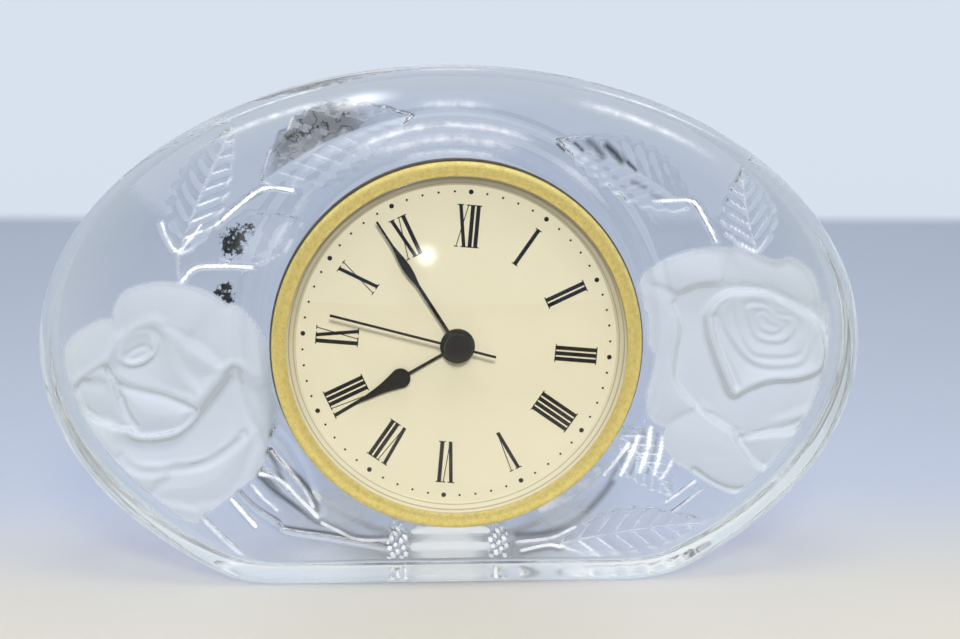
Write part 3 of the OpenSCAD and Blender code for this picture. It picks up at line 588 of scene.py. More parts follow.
RIGHT_ROSE = [
    petal([(38, 58), (41, 61.5), (45.5, 63.5), (51, 65), (56.5, 65), (61, 63.5), (58, 52), (46.5, 46),
           (40.5, 50)], 0.2, -0.9, 5),
    petal([(56.5, 65), (65.5, 62.5), (68.5, 63), (72.5, 60.5), (74.5, 56), (74.5, 50), (67, 48), (57, 54)],
           0.6, -0.7, 3.5, fold=2.2),
    petal([(73.5, 53), (76, 53.5), (77.5, 49), (78, 41), (77, 32), (72, 34.5), (69, 44), (70, 51)], 0.6,
           -0.5, 2.5, fold=0.7),
    petal([(38, 58), (39.5, 52), (40, 46), (41.5, 42), (40, 34), (41.5, 29), (50, 28), (53, 40), (48, 54)],
           0.1, -1.0, 5),
    petal([(44, 28), (45, 22), (49.5, 18.5), (54.5, 15.5), (59, 14), (63, 15), (66.5, 17), (69, 18.5),
           (64, 30), (51.5, 32)], 0.1, -1.1, 6),
    petal([(77.5, 33), (77, 25.5), (73.5, 21), (69, 18.5), (65, 19.5), (61.5, 22.5), (58.5, 27.5), (67, 32),
           (75, 34)], 1.2, -0.6, 3),
    petal([(77.5, 36), (76.5, 30.5), (72, 27.5), (67, 26.8), (60, 27.5), (64, 34), (72, 37)], 1.5, -0.4,
           2.5),
    petal([(45.5, 54.5), (47, 49), (46, 43), (46.5, 37.5), (52, 31.5), (58, 27.5), (63, 26.5), (67, 29.5),
           (72, 31.5), (76.5, 34.5), (77, 44), (75, 50), (70, 54), (62, 57), (54, 57.5), (49, 57)], 0.9,
           0.2, 3, fold=1.2),
    petal([(52, 52), (52, 48), (53.5, 43.5), (55.5, 38.5), (57.8, 34.3), (61, 35.8), (65.5, 37.3),
           (71.5, 37.8), (76, 40), (76.5, 45), (74.5, 50), (69, 53.5), (62, 56), (55.5, 55.5)], -1.4, 0.3,
           3, fold=1.0, lip=1.3, lip_reach=4),
    petal([(55.2, 53), (55.5, 49), (58, 45), (61.3, 41.6), (65.5, 40.4), (71.5, 41), (73.5, 44.5), (74, 48),
           (72, 51), (67, 53.7), (64.5, 55.5), (59, 55.5)], -0.7, 0.4, 1.6, fold=0.7, lip=0.9,
           lip_reach=1.8),
    petal([(57.7, 54), (58.6, 48.5), (60.8, 44.3), (63.2, 42.8), (69.8, 42.8), (72.2, 45), (72.6, 49.6),
           (70, 51.8), (66.8, 52.6), (64.3, 54.6), (60.8, 55.4)], -0.2, 0.6, 1.3, fold=0.6, lip=0.8,
           lip_reach=1.1),
    petal([(60.3, 53), (61, 49), (63, 46), (68, 45.6), (70.4, 48.4), (69.5, 50.6), (66.6, 51), (64.2, 53)],
           0.0, 0.8, 1.2, fold=0.5, lip=0.7, lip_reach=0.9),
    petal([(62.3, 51), (63, 48.4), (66, 47.4), (68, 49), (65.5, 50.4), (64, 51.6)], 0.2, 1.0, 1, fold=0.45,
           lip=0.6, lip_reach=0.7),
]

# %% Creases
# Fine lips of petals: the route, half width and height of each.
CREASES = [
    ([(-69.1, 40.9), (-66.2, 37.8), (-62, 36.2), (-58, 35.3), (-53.8, 33.8)], 1.1, 0.5),
    ([(-67.1, 36.7), (-66, 32.5), (-63.5, 28.9)], 0.9, 0.7),
    ([(-74.6, 33.6), (-71.5, 30.9), (-68, 29.3), (-65.2, 28.6)], 1.0, 1.0),
    ([(-57.2, 49.3), (-53.5, 47.6), (-49.7, 46), (-47.5, 43.5)], 1.1, 0.2),
    ([(-66.6, 28), (-62.7, 26.4), (-57.5, 26.4), (-54.1, 29), (-49.5, 34.4), (-46.4, 39), (-43.4, 40.6),
      (-39.5, 38)], 2.6, -0.6),
    ([(46, 61), (51, 58.5), (56, 56), (60, 54)], 6.0, -0.6),
    ([(-66.3, 22.8), (-64, 20.5), (-60.5, 19.6), (-55, 20.2), (-49.8, 21), (-45.5, 23.5), (-42, 27)], 1.5,
      0.8),
    ([(45.2, 53.5), (46.8, 48), (46.4, 42.5), (46.3, 37.2), (51.7, 31.7), (59, 26.8)], 1.3, 0.5),
    ([(60, 25.6), (64, 26.4), (68.7, 27.6), (74, 29.8), (78, 31.8)], 1.1, 0.9),
    ([(59.7, 25.1), (62.5, 21), (66.8, 18.9), (71, 19.6), (74.1, 21.4)], 1.1, 0.9),
    ([(50.2, 18.9), (54.5, 15.9), (59, 14.6), (64, 16)], 1.0, 0.8),
    ([(53.4, 51), (54.6, 46), (57, 40.5), (58.8, 36.6)], 0.9, 0.6),
]


def crease_relief(points, route, half, height):
    """A rounded lip: height (1 - (distance / half)^2)^2 along a smooth route."""
    curve = smooth_curve(route, closed=False)
    raised = np.zeros(len(points))
    close = near(points, curve, half + 0.5)
    share = distance_to(points[close], curve, closed=False) / half
    raised[close] = height * np.clip(1 - share ** 2, 0, 1) ** 2
    return raised


# %% Laying petals over one another
def rose_relief(points, petals):
    """Height of a rose in millimetres, and its frost.

    Inside, a petal's height is middle + (edge - middle) exp(-depth / reach), laid over the rest.
    Outside, its lip adds lip exp(-distance / lip_reach) to what is there.
    """
    height = np.zeros(len(points))
    inside = np.full(len(points), -np.inf)
    for outline, edge, middle, reach, fold, lip, lip_reach in petals:
        curve = smooth_curve(outline)
        close = near(points, curve, 1 + 3 * lip_reach * (lip > 0))
        depth = distance_to(points[close], curve)
        own = middle + (edge - middle) * np.exp(-np.maximum(depth, 0) / reach)
        cover = rise(depth, -fold, fold)
        around = height[close] + lip * np.exp(-np.maximum(-depth, 0) / lip_reach)
        height[close] = around * (1 - cover) + own * cover
        inside[close] = np.maximum(inside[close], depth)
    return height * rise(inside, -0.2, 1.6), rise(inside, -0.5, 0.4)


# %% [markdown]
# ### The leaves
# The leaves are left clear, so only their facets show: each side slopes from the
# midrib to the toothed edge, and veins run from the midrib towards the tip. The
# veins and teeth are the die's sharpest edges; their white lines are painted
# highlights, which glow a little. On one leaf, blocks of facets and the outline
# are painted brown or black, a painted reflection of a dark room.

# %% Leaves
# Foot, tip, half width, bend, vein spacing, strength of painted facets, painted whiteness left and right of
# the midrib, vein height.
LEAVES = [
    ((-38, 78), (-7.5, 91.5), 7.2, 2.0, 3.6, 1.0, 0.0, 0.4, 0.05),
    ((-54.5, 63.5), (-43, 89), 5.2, 0.8, 3.4, 0.0, 0.25, 1.0, 0.16),
    ((-46, 62.5), (-30.5, 71), 5.0, 1.0, 4.2, 0.0, 0.05, 0.15, 0.02),
    ((48, 73), (20, 87), 5.9, -1.5, 3.2, 0.0, 0.3, 0.15, 0.05),
    ((62, 64), (58, 81), 5.4, 0.5, 2.9, 0.0, 0.9, 0.5, 0.16),
    ((22.5, 3.5), (54.5, 8), 5.2, 0.5, 3.8, 0.0, 0.45, 0.6, 0.15),
    ((33, 28), (46, 13), 5.0, 0.5, 2.6, 0.0, 0.7, 0.7, 0.16),
]
leaf_rise = 0.9


def bell(value, width):
    """exp(-(value / width)^2): 1 at 0, and close to 0 beyond twice the width."""
    return np.exp(-(value / width) ** 2)


def leaf_relief(points, foot, tip, half, bend, pitch, facets, left_white, right_white, vein_rise):
    """Height of a leaf, with its painted dark patches, painted white lines and painted dark outline.

    Its half width is half sin(pi t^0.8)^0.9 with teeth. From the midrib it slopes down to the edge. Veins
    run at 45 degrees to the midrib where (along - across) / pitch is whole, fainter towards the tip.
    """
    foot, tip = np.array(foot, dtype=float), np.array(tip, dtype=float)
    length = np.linalg.norm(tip - foot)
    axis = (tip - foot) / length
    away = points - foot
    along = away @ axis
    t = np.clip(along / length, 0, 1)
    side = away @ np.array([-axis[1], axis[0]]) - bend * np.sin(math.pi * t)
    across = np.abs(side)
    wave = np.cos(2 * math.pi * (along - across) / pitch)
    teeth_wave = 1 + 0.06 * np.cos(2 * math.pi * (along - half) / pitch)
    width = half * np.sin(math.pi * t ** 0.8) ** 0.9 * teeth_wave
    inside = np.minimum(width - across, np.minimum(along, length - along) * 2)
    share = np.clip(across / np.maximum(width, 0.1), 0, 1)
    cover = rise(inside, 0, 0.8)
    height = (leaf_rise * (1 - 0.6 * share) + vein_rise * wave * rise(share, 0.02, 0.3)) * cover
    vein = rise(wave, 0.7, 0.98) * rise(share, 0.03, 0.12) * rise(0.86 - share, 0, 0.2) * (1 - 0.6 * t)
    midrib = 0.7 * bell(side, 0.22)
    edge = 0.6 * bell(inside - 0.35, 0.3) * (0.6 + 0.4 * wave)
    # The white lines on the veins, the midrib and the edge are painted highlights.
    white = right_white + (left_white - right_white) * rise(side, -0.2, 0.2)
    lines = white * np.maximum(np.maximum(vein, midrib) * rise(inside, 0, 0.5), edge)
    # Painted highlights on the teeth, a painted dark reflection over the upper half and a painted dark
    # outline.
    teeth = 0.8 * facets * bell(inside - 0.3, 0.35) * rise(wave, 0.3, 0.9) * rise(side, 0, 1)
    dark_half_paint = facets * cover * rise(side, -0.2, 0.4) * rise(t, 0.04, 0.2) * rise(1 - t, 0.18, 0.4)
    outline = facets * bell(inside - 0.1, 0.25) * (0.3 + 0.5 * rise(side, 0, 1))
    return height, dark_half_paint, np.maximum(lines, teeth), outline


# %% Stems and small ridges
# Route, half width, height and whiteness, the strength of a painted highlight along the crest. The last
# three are broad blades without a white line.
RIDGES = [
    ([(-54.3, 58), (-54.5, 61), (-54.5, 64)], 0.7, 0.5, 0.35),
    ([(-57.6, 70), (-56.6, 67), (-54.6, 64.2), (-52, 66.8), (-50, 69.5)], 0.6, 0.6, 0.9),
    ([(-53.8, 58.3), (-51.2, 60.9), (-46.1, 61.3), (-40, 61.1)], 0.65, 0.9, 1.0),
    ([(-47, 69.5), (-42.4, 73.4), (-37.5, 76.8), (-31.8, 76.5)], 0.65, 0.9, 1.0),
    ([(-39.4, 61.7), (-33.6, 64.1), (-31.8, 68.1), (-30, 69.7)], 0.5, 0.4, 0.4),
    ([(40.5, 74.5), (44, 74.6), (48.5, 74.4), (51, 71), (53.5, 66.5)], 0.65, 0.9, 1.0),
    ([(-43.5, 15.2), (-39.7, 11.4), (-35.3, 8.3), (-33.4, 6.8), (-24.1, 5.2), (-12, 2.8)], 0.9, 0.6, 0.25),
    ([(-40.6, 16.7), (-38.2, 13.8), (-35.4, 11.2)], 0.7, 0.3, 0.7),
    ([(-38.8, 18.8), (-34.6, 17.4), (-31.2, 13.8), (-27.4, 9.8)], 0.8, 0.3, 1.0),
    ([(-35.4, 23), (-32.6, 19.4), (-30, 15.4), (-28.2, 11.8)], 0.7, 0.2, 0.8),
    ([(-26.4, 8.5), (-23.2, 6.8), (-19, 4.9), (-12.5, 4.7)], 0.7, 0.3, 0.8),
    ([(-44.5, 13.5), (-42.3, 10.8), (-39.9, 8)], 0.8, 0.6, 1.0),
    ([(-50.4, 9.8), (-45, 4.3), (-40.6, 0.6)], 0.9, 0.8, 0.5),
    ([(44.5, 12), (50.5, 16.5)], 0.6, 0.5, 0.8),
    ([(46, 10), (52, 14.6)], 0.6, 0.5, 0.5),
    ([(13.7, 4), (20.7, 4.8), (25.7, 7)], 0.7, 0.3, 0.8),
    ([(14.7, 2.2), (19.9, 3.3), (22.9, 2.9)], 0.6, 0.3, 0.9),
    ([(18.7, 11.6), (25.7, 14.8), (30.1, 19)], 2.6, 0.2, 0.5),
    ([(36.5, 24.5), (34, 21), (31.5, 18)], 0.9, 0.5, 0.9),
    ([(38.5, 26), (37, 22), (35, 18)], 0.9, 0.5, 0.9),
    ([(41, 28), (40.5, 23.5), (39, 18.5)], 0.9, 0.5, 0.9),
    ([(43.5, 26), (43, 22), (42, 18)], 0.8, 0.5, 0.9),
    ([(46, 22), (45, 19.5), (43.5, 17)], 0.8, 0.5, 0.8),
    ([(-7.5, 6.6), (0, 6.8), (7.5, 6.6)], 1.3, 0.3, 1.0),
    ([(-7.5, 3.2), (0, 3.4), (7.5, 3.2)], 1.6, 0.2, 0.6),
    ([(-7.5, 0), (0, 0), (7.5, 0)], 1.3, 0.3, 1.0),
    ([(-36, 27.5), (-33, 24), (-30, 18), (-27.4, 11)], 2.3, 1.2, 0.0),
    ([(-37, 23), (-33.5, 19), (-30, 14), (-27.6, 10.8)], 2.0, 1.1, 0.0),
    ([(-39, 19.8), (-35, 15.6), (-31, 12), (-27.8, 10.3)], 1.9, 1.0, 0.0),
]

# %% Painted dark bands
# Route, half width and strength of each band of painted dark reflection.
PAINTED_DARK_BANDS = [
    ([(-43.5, 15.9), (-39.7, 12.1), (-35.3, 9.2), (-33.9, 7.8), (-24.1, 6.2), (-12.5, 3.4)], 0.7, 1.0),
    ([(-33, 19.7), (-30.6, 17.6), (-28.1, 14.2), (-27.2, 11)], 1.0, 1.0),
    ([(-39.6, 19.1), (-36.4, 15.7), (-32.2, 12.3), (-28.1, 9.1), (-26, 8.3)], 1.0, 0.98),
    ([(-38.2, 18.6), (-36.8, 16.8), (-35.4, 15)], 1.5, 0.84),
    ([(-37.2, 23.5), (-35.6, 20.5), (-34, 17)], 1.0, 0.84),
    ([(-26.4, 9.3), (-23.2, 7.6), (-19, 5.7), (-12.5, 5.5)], 0.7, 0.7),
    ([(13.7, 5.5), (20.5, 6.1), (26.1, 8.7), (30.9, 13.5), (33.1, 16.5)], 1.3, 0.84),
    ([(14.7, 1.4), (19.9, 2.5), (22.9, 2.1)], 0.6, 1.0),
    ([(32.5, 16.4), (35.5, 22), (39.5, 27.5)], 0.7, 0.63),
    ([(37.2, 25.2), (35.6, 21.5), (33.4, 18)], 0.6, 0.7),
    ([(39.7, 26.5), (38.8, 22.5), (37, 18.2)], 0.6, 0.7),
    ([(42.3, 26.5), (41.8, 22.5), (40.5, 18.3)], 0.6, 0.7),
    ([(20.7, 85.8), (22.1, 84.6)], 0.6, 1.0),
    ([(24.3, 86), (25.9, 84.6)], 0.7, 1.0),
    ([(27.1, 86.4), (28.6, 85), (30, 83.3)], 1.3, 0.84),
    ([(30.7, 85.5), (32.5, 84), (33.8, 82.5)], 1.5, 1.0),
    ([(35, 82.3), (36.7, 80.7)], 0.8, 1.0),
    ([(36.1, 78.3), (38.6, 77.3)], 0.9, 0.7),
    ([(40.1, 75.9), (42.9, 74.3)], 1.1, 0.49),
    ([(-47.5, 69), (-42.9, 72.9), (-38, 76.1)], 0.6, 0.7),
]


def ridge_relief(points, route, half, height, white):
    """A rounded ridge like a crease, and the painted highlight line on its crest."""
    share = crease_relief(points, route, half, 1.0)
    return height * share, white * rise(share, 0.3, 0.9)


# %% Pebbled patches, painted dark blots and painted pale light
# Each is an oval with its centre and half sizes. The blots beside the upper left stem are painted
# dark reflections. The pale areas are painted light, where curved glass would gather the light of
# the floor. Both have a strength.
PATCHES = [((-11, 3.5), (2.6, 6.5)), ((9.8, 3.5), (2.4, 6.5))]
PAINTED_BLOTS = [((-43.6, 66), (4.6, 6.0), 1.05), ((-40.6, 68.6), (2.4, 2.8), 0.95),
         ((-45.4, 55.6), (3.6, 5.2), 1.05)]
PAINTED_PALE_LIGHT = [((-0.5, 2.5), (12.5, 8.5), 1.0), ((-23, 11), (10, 6), 0.42), ((22.5, 9.6), (9, 5), 0.4),
          ((39, 23), (7, 6.5), 0.25), ((-22, 84), (14, 5.5), 0.2), ((-37, 66), (8, 7), 0.15),
          ((-22, 1), (18, 6), 0.4), ((22, 1), (18, 6), 0.4)]


def oval_share(points, centre, half):
    """1 in the middle of an oval, 0 on its edge and less outside."""
    away = (points - np.array(centre)) / np.array(half)
    return 1 - np.hypot(away[:, 0], away[:, 1])


def patch_relief(points, centre, half):
    """Small bumps, sin x times sin z, inside a soft oval, and the painted highlights on them."""
    inside = rise(oval_share(points, centre, half), 0, 0.3)
    x, z = points.T
    bumps = np.sin(x * 3.4 + 1.3 * np.sin(z)) * np.sin(z * 2.7 + x)
    return inside * (0.5 + 0.6 * bumps), inside * rise(bumps, -0.2, 0.5)


def painted_oval(points, centre, half, strength):
    """Strength of a painted dark blot or a painted pale area: a soft oval."""
    return strength * rise(oval_share(points, centre, half), 0, 0.7)


# %% Painted highlights along the rim and on the boss
# First and last angle in degrees, distance from the edge or from the hub, width and strength.
PAINTED_RIM_STREAKS = [(112, 148, 5.2, 0.6, 0.7), (30, 66, 5.0, 0.7, 0.7)]
PAINTED_BOSS_ARCS = [(62, 122, 41.6, 0.8, 0.8), (66, 118, 38.7, 1.1, 0.7), (70, 112, 36.2, 0.8, 0.55),
         (76, 104, 45.6, 0.9, 0.55), (40, 64, 40.2, 0.9, 0.5), (130, 160, 39.5, 0.8, 0.3)]


def glint(distance, angle, arcs):
    """Painted highlights: white streaks, each between two angles and with a bell-shaped section."""
    degrees = np.degrees(angle)
    white = np.zeros(len(degrees))
    for start, end, at, width, strength in arcs:
        reach = rise(degrees, start, start + 12) * rise(end - degrees, 0, 12)
        white = np.maximum(white, strength * reach * bell(distance - at, width))
    return white


# %% The boss round the hole
ripple_h = 0.24
ripple_pitch = 3.7


def boss_relief(radius):
    """Full height to boss_top_r, then a curve down to the back at boss_foot_r, with soft rings on it."""
    left = np.clip((boss_foot_r - radius) / (boss_foot_r - boss_top_r), 0, 1)
    rings = np.sin(2 * math.pi * (radius - boss_top_r) / ripple_pitch)
    reach = rise(radius, boss_top_r, boss_top_r + 1.5) * rise(boss_foot_r + 4 - radius, 0, 2)
    return relief_h * left ** 2 + ripple_h * rings * reach


# %% Rings of the crystal
boss_rows = 14
back_rows = 70
rim_rows = 6
flat_reach = math.radians(36)
round_from = math.radians(62)
ray = rays[None, :]


def ring_points(radius, y):
    """Points at a radius from the hub along each ray, at depth y."""
    x = radius * np.cos(ray)
    z = hub_h + radius * np.sin(ray)
    return np.stack(np.broadcast_arrays(x, y + 0 * x, z), axis=-1)


base_share = rise(np.abs(ray + math.pi / 2), round_from, flat_reach)
rim = rim_r + (base_rim_r - rim_r) * base_share
back_edge = outline_radius(ray, rim)
boss_share = np.linspace(0, 1, boss_rows, endpoint=False)[:, None]
back_share = np.linspace(0, 1, back_rows)[:, None]
near_radius = np.repeat(hole_r + (boss_foot_r - hole_r) * boss_share, ray_count, axis=1)
far_radius = boss_foot_r + (back_edge - boss_foot_r) * back_share
back_radius = np.vstack([near_radius, far_radius])
flat = ring_points(back_radius, 0.0)
plan = flat.reshape(-1, 3)[:, [0, 2]]


# %% The strongest of many shapes
def strongest(relief, shapes):
    """The highest of each value that a function gives for the shapes, at every point of the back."""
    return np.max([relief(plan, *shape) for shape in shapes], axis=0)


# %% The back's height, worked out once for every point
left_height, left_frost = rose_relief(plan, LEFT_ROSE)
right_height, right_frost = rose_relief(plan, RIGHT_ROSE)
frost = np.maximum(left_frost, right_frost)
rose = np.where(plan[:, 0] < 0, left_height, right_height)
for crease in CREASES:
    rose = rose + crease_relief(plan, *crease)
# The leaves give their relief and their painted marks: dark facets, highlight lines and a dark outline.
clear, facets, lines, dark_band_paint = strongest(leaf_relief, LEAVES)
for relief, shapes in ((ridge_relief, RIDGES), (patch_relief, PATCHES)):
    raised, crest = strongest(relief, shapes)
    clear = np.maximum(clear, raised)
    lines = np.maximum(lines, crest)
# The painted dark bands join the leaf's painted dark outline.
dark_band_paint = np.maximum(dark_band_paint, strongest(crease_relief, PAINTED_DARK_BANDS))
dark_blot_paint = strongest(painted_oval, PAINTED_BLOTS)
pale_light_paint = strongest(painted_oval, PAINTED_PALE_LIGHT)
from_hole = back_radius.ravel()
from_edge = (outline_radius(ray, 0) - back_radius).ravel()
ray_angle = np.tile(rays, len(back_radius))
# Painted highlight streaks near the rim and in arcs round the boss.
lines = np.maximum(lines, glint(from_edge, ray_angle, PAINTED_RIM_STREAKS))
lines = np.maximum(lines, glint(from_hole, ray_angle, PAINTED_BOSS_ARCS))
height = frost * rose + (1 - frost) * clear + boss_relief(from_hole)
to_rim = (back_edge - back_radius).ravel()
height = soft_minimum(height, relief_h, 0.5) * rise(to_rim, 0, 1.2)
back = flat.copy()
back[..., 1] = ground_y + height.reshape(back_radius.shape)
print("relief from", height.min(), "to", height.max(), "mm")


# %% The rest of the rings, and the crystal's mesh
def rounding(angle, face_y, inwards):
    """Quarter rounds from a flat face, at 0, to the side, at 90 degrees. inwards is +1 or -1 along y."""
    return ring_points(outline_radius(ray, rim * (1 - np.sin(angle))),
                       face_y + inwards * rim * (1 - np.cos(angle)))


quarter = np.radians(np.linspace(0, 90, rim_rows + 1))[:, None]
back_rim = rounding(quarter[1:], ground_y, -1)
side_ring = ring_points(outline_radius(ray, 0), (front_y + ground_y) / 2)
front_rim = rounding(quarter[::-1], front_y, 1)
inward = np.linspace(1, 0, 5)[1:-1, None]
front_face = ring_points(hole_r + (back_edge - hole_r) * inward, front_y)
hole_wall = ring_points(hole_r, np.array([[front_y], [(front_y + back_y) / 2]]))
rings = np.concatenate([back, back_rim, side_ring, front_rim, front_face, hole_wall])
faces = grid_faces(len(rings), ray_count, True, True)
crystal = mesh_piece("crystal", rings.reshape(-1, 3), faces, sharp=85)


def surface_value(name, values):
    """Stores one number per point for the finish to read. Points after the last value get 0."""
    full = np.zeros(len(rings) * ray_count, dtype=np.float32)
    full[:len(values)] = values
    crystal.data.attributes.new(name, "FLOAT", "POINT").data.foreach_set("value", full)


surface_value("frost", frost * rise(to_rim, -0.2, 1.0))
# The painted marks for the finish: dark facets, dark bands, dark blots, highlight lines and pale light.
shades = {"facets": facets, "dark_band_paint": dark_band_paint, "dark_blot_paint": dark_blot_paint, "lines": lines, "pale_light_paint": pale_light_paint}
for name, values in shades.items():
    surface_value(name, values * (1 - frost))
outer = np.zeros(rings.shape[:2])
outer[len(back):len(back) + len(back_rim) + len(side_ring) + len(front_rim)] = 1
surface_value("rim", outer.ravel())

# %% [markdown]
# ### Clear glass, frosted glass
# Crystal bends light strongly, and a thick block of it has a faint cool tint.
# On the roses the surface is etched: it scatters what passes, and it also sends
# some light straight back, so it looks white even against a dark room. Lamps
# would leave only hot sparks behind thick glass, so their rays go straight
# through it and only take on a faint blue.

# %% Crystal glass
glass = new_finish("crystal glass")
frosted = glass.attribute("frost")
rim_mask = glass.attribute("rim")
facet = glass.attribute("facets")
# The painted highlights, broken up by noise; they glow through the white layer's emission.
painted_highlight = glass.attribute("lines") * (0.3 + 1.4 * glass.noise(420, 2))
# Painted pale light, which glows through the white layer's emission.
painted_glow = glass.attribute("pale_light_paint")
grain = glass.noise(2600, 2)

# %% Painted dark facets in blocks, like crooked squares
leaning = (0, math.radians(-30), 0)
tilted = glass.node("ShaderNodeMapping", {"Vector": glass.coordinates(), "Rotation": leaning,
                                          "Scale": (0.9, 0.3, 1.3)})


def block_tone(scale):
    """A different number from 0 to 1 in each block."""
    block = glass.node("ShaderNodeTexVoronoi", {"Vector": tilted, "Scale": scale, "Randomness": 0.75},
                       out="Color", distance="CHEBYCHEV")
    return glass.node("ShaderNodeSeparateColor", {"Color": block})


# Painted dark reflection: dark blocks and their edges, only where the facet paint lies.
crooked = glass.noise(430, 2) - 0.5
painted_block_edges = facet * glass.smooth_step(abs(crooked), 0.03, 0.0)
block_mix = block_tone(330.0) * 0.6 + block_tone(760.0) * 0.4
painted_dark_blocks = facet * (0.2 + 0.6 * glass.smooth_step(block_mix, 0.2, 0.7))
# Painted dark reflection: near-black blots with a ragged edge.
painted_blot = glass.smooth_step(glass.attribute("dark_blot_paint") + glass.noise(900, 3, 0.65) * 2.2, 1.8, 2.1)

# %% The glass's tint with its painted darks, its body and its white layer
# The white layer fills the etched roses and a little of the rim. It also carries the painted highlights
# (the bright lines) and the painted pale light (the pale areas), which glow by its emission.
tint_and_painted_darks = glass.mix(rim_mask * 0.6, shade(250, 252, 254), shade(240, 246, 243))
# Painted dark reflections in the tint: brown and black facet blocks, dark teal bands and black blots.
tint_and_painted_darks = glass.mix(facet * 0.55, tint_and_painted_darks, shade(208, 190, 166))
tint_and_painted_darks = glass.mix(painted_dark_blocks + painted_block_edges * 0.5, tint_and_painted_darks, shade(24, 20, 15))
tint_and_painted_darks = glass.mix(glass.attribute("dark_band_paint"), tint_and_painted_darks, shade(14, 26, 29))
tint_and_painted_darks = glass.mix(painted_blot, tint_and_painted_darks, shade(0, 1, 1))
clear_body = glass.principled(
    Base_Color=tint_and_painted_darks, IOR=1.52, Transmission_Weight=1.0, Roughness=frosted * (0.34 + grain * 0.1),
    Normal=glass.bump(grain * frosted, 0.00003, 0.5))
etched_and_painted_white = glass.principled(
    Base_Color=glass.mix(painted_highlight, shade(233, 237, 233), shade(255, 255, 255)), Roughness=0.6,
    Emission_Color=glass.mix(painted_highlight + painted_glow, shade(0, 0, 0), shade(255, 255, 255)), Emission_Strength=0.5)
white_share = frosted * 0.75 + painted_highlight * 0.9 + painted_glow * 0.85 + rim_mask * 0.14
body = glass.mix_shader(white_share, clear_body, etched_and_painted_white)
open_glass = glass.node("ShaderNodeBsdfTransparent", {"Color": shade(228, 231, 246)})
glass.finish(glass.mix_shader(glass.ray("Is Shadow Ray"), body, open_glass))
place(crystal, "crystal", "crystal_glass", glass.owner, "crystal_block")

# %% [markdown]
# ## The bezel
# A bezel is spun from thin brass sheet and plated: a straight side, a rolled
# crown and a lip that turns in over the lens. Its profile is turned on a lathe.

# %% Heights along the insert
dial_face = 1.3
lens_seat = 2.8
lens_front = 3.8
bezel_top = front_y - bezel_low[1]
dome_top = bezel_top + 2.7
lens_r = 34.4
view_r = 30.9
lip_r = 32.8
bezel_wall = 1.5
crown_w = 2.0
crown_h = 2.4

# %% The bezel's profile
crown = arc((bezel_r - crown_w, bezel_top - crown_h), (crown_w, crown_h), 0, 90, 13)
bezel_profile = [(bezel_r - bezel_wall, 0.0), (bezel_r - 0.2, 0.0), (bezel_r, 0.2)] + crown
bezel_profile += [(33.5, bezel_top - 0.05), (33.1, bezel_top - 0.25), (lip_r, bezel_top - 0.5)]
bezel_profile += [(lip_r, lens_front + 0.05), (bezel_r - bezel_wall, lens_front + 0.05)]
bezel = turned_piece("bezel_ring", bezel_profile, 288, sharp=35)


# %% Gold plate with its fine speckle
def from_hub(finish):
    """Distance from the hands' axis and height over it, in metres."""
    across = finish.along("X")
    over = finish.along("Z") - hub_h * MM
    return (across * across + over * over) ** 0.5, over


gold = new_finish("gold plate")
coarse = gold.noise(900, 4, 0.65)
aged = gold.smooth_step(coarse, 0.42, 0.68)
pit = gold.smooth_step(gold.noise(5200, 2, 0.6), 0.56, 0.72)
gold_tone = gold.mix(aged * 0.5, shade(255, 235, 148), shade(234, 204, 110))
gold_tone = gold.mix(pit * 0.5, gold_tone, shade(172, 134, 70))
gold_radius, gold_height = from_hub(gold)
# Painted dark reflection on the bezel's side wall, faded out towards the bottom.
painted_dark_side = gold.smooth_step(gold_radius, (bezel_r - 0.5) * MM, (bezel_r - 0.32) * MM)
painted_dark_side = painted_dark_side * gold.smooth_step(gold_height, -0.024, -0.006)
gold_tone = gold.mix(painted_dark_side * 0.95, gold_tone, shade(46, 36, 38))
gold.finish(gold.principled(Base_Color=gold_tone, Metallic=0.65, Roughness=0.4 + aged * 0.14 + pit * 0.12,
                            Normal=gold.bump(pit + coarse * 0.6, 0.00002, 0.5)))
place(bezel, "insert", "bezel_gold", gold.owner, "bezel")

# %% [markdown]
# ## The reflector ring
# Between dial and lens a polished cone throws light onto the dial. Two thin dark
# rings are painted on it, and painted shade darkens its upper part.

# %% Reflector ring
cone_profile = [(view_r, dial_face), (lens_r, dial_face), (lens_r, lens_seat), (lip_r, lens_seat)]
cone_profile += [(lip_r - 0.15, lens_seat - 0.25), (view_r + 0.12, dial_face + 0.12)]
reflector = turned_piece("reflector", cone_profile, 288, sharp=30)
cone = new_finish("reflector plate")
turning = cone.noise(1400, 2, stretch=(1, 0.1, 1))
cone_radius, cone_height = from_hub(cone)
# Two thin dark rings painted on the cone.
dark_rings = cone.smooth_step(abs(cone_radius - 31.4 * MM), 0.14 * MM, 0.0)
dark_rings = dark_rings + cone.smooth_step(abs(cone_radius - 32.3 * MM), 0.2 * MM, 0.0)
cone_tone = cone.mix(turning * 0.5, shade(244, 236, 206), shade(232, 221, 184))
# Painted shade: the cone is darker towards its top.
cone_tone = cone.mix(cone.smooth_step(cone_height, -0.012, 0.026) * 0.35, cone_tone, shade(168, 152, 124))
cone_tone = cone.mix(dark_rings * 0.55, cone_tone, shade(104, 88, 64))
cone.finish(cone.principled(Base_Color=cone_tone, Metallic=0.2, Roughness=0.3 + turning * 0.15))
place(reflector, "insert", "bezel_gold", cone.owner, "reflector_ring")

# %% [markdown]
# ## The dial
# The dial is a disc of lacquered metal. Its numerals, dots and minute track are
# printed: a layer of ink a few hundredths of a millimetre thick, made here as
# real raised shapes.

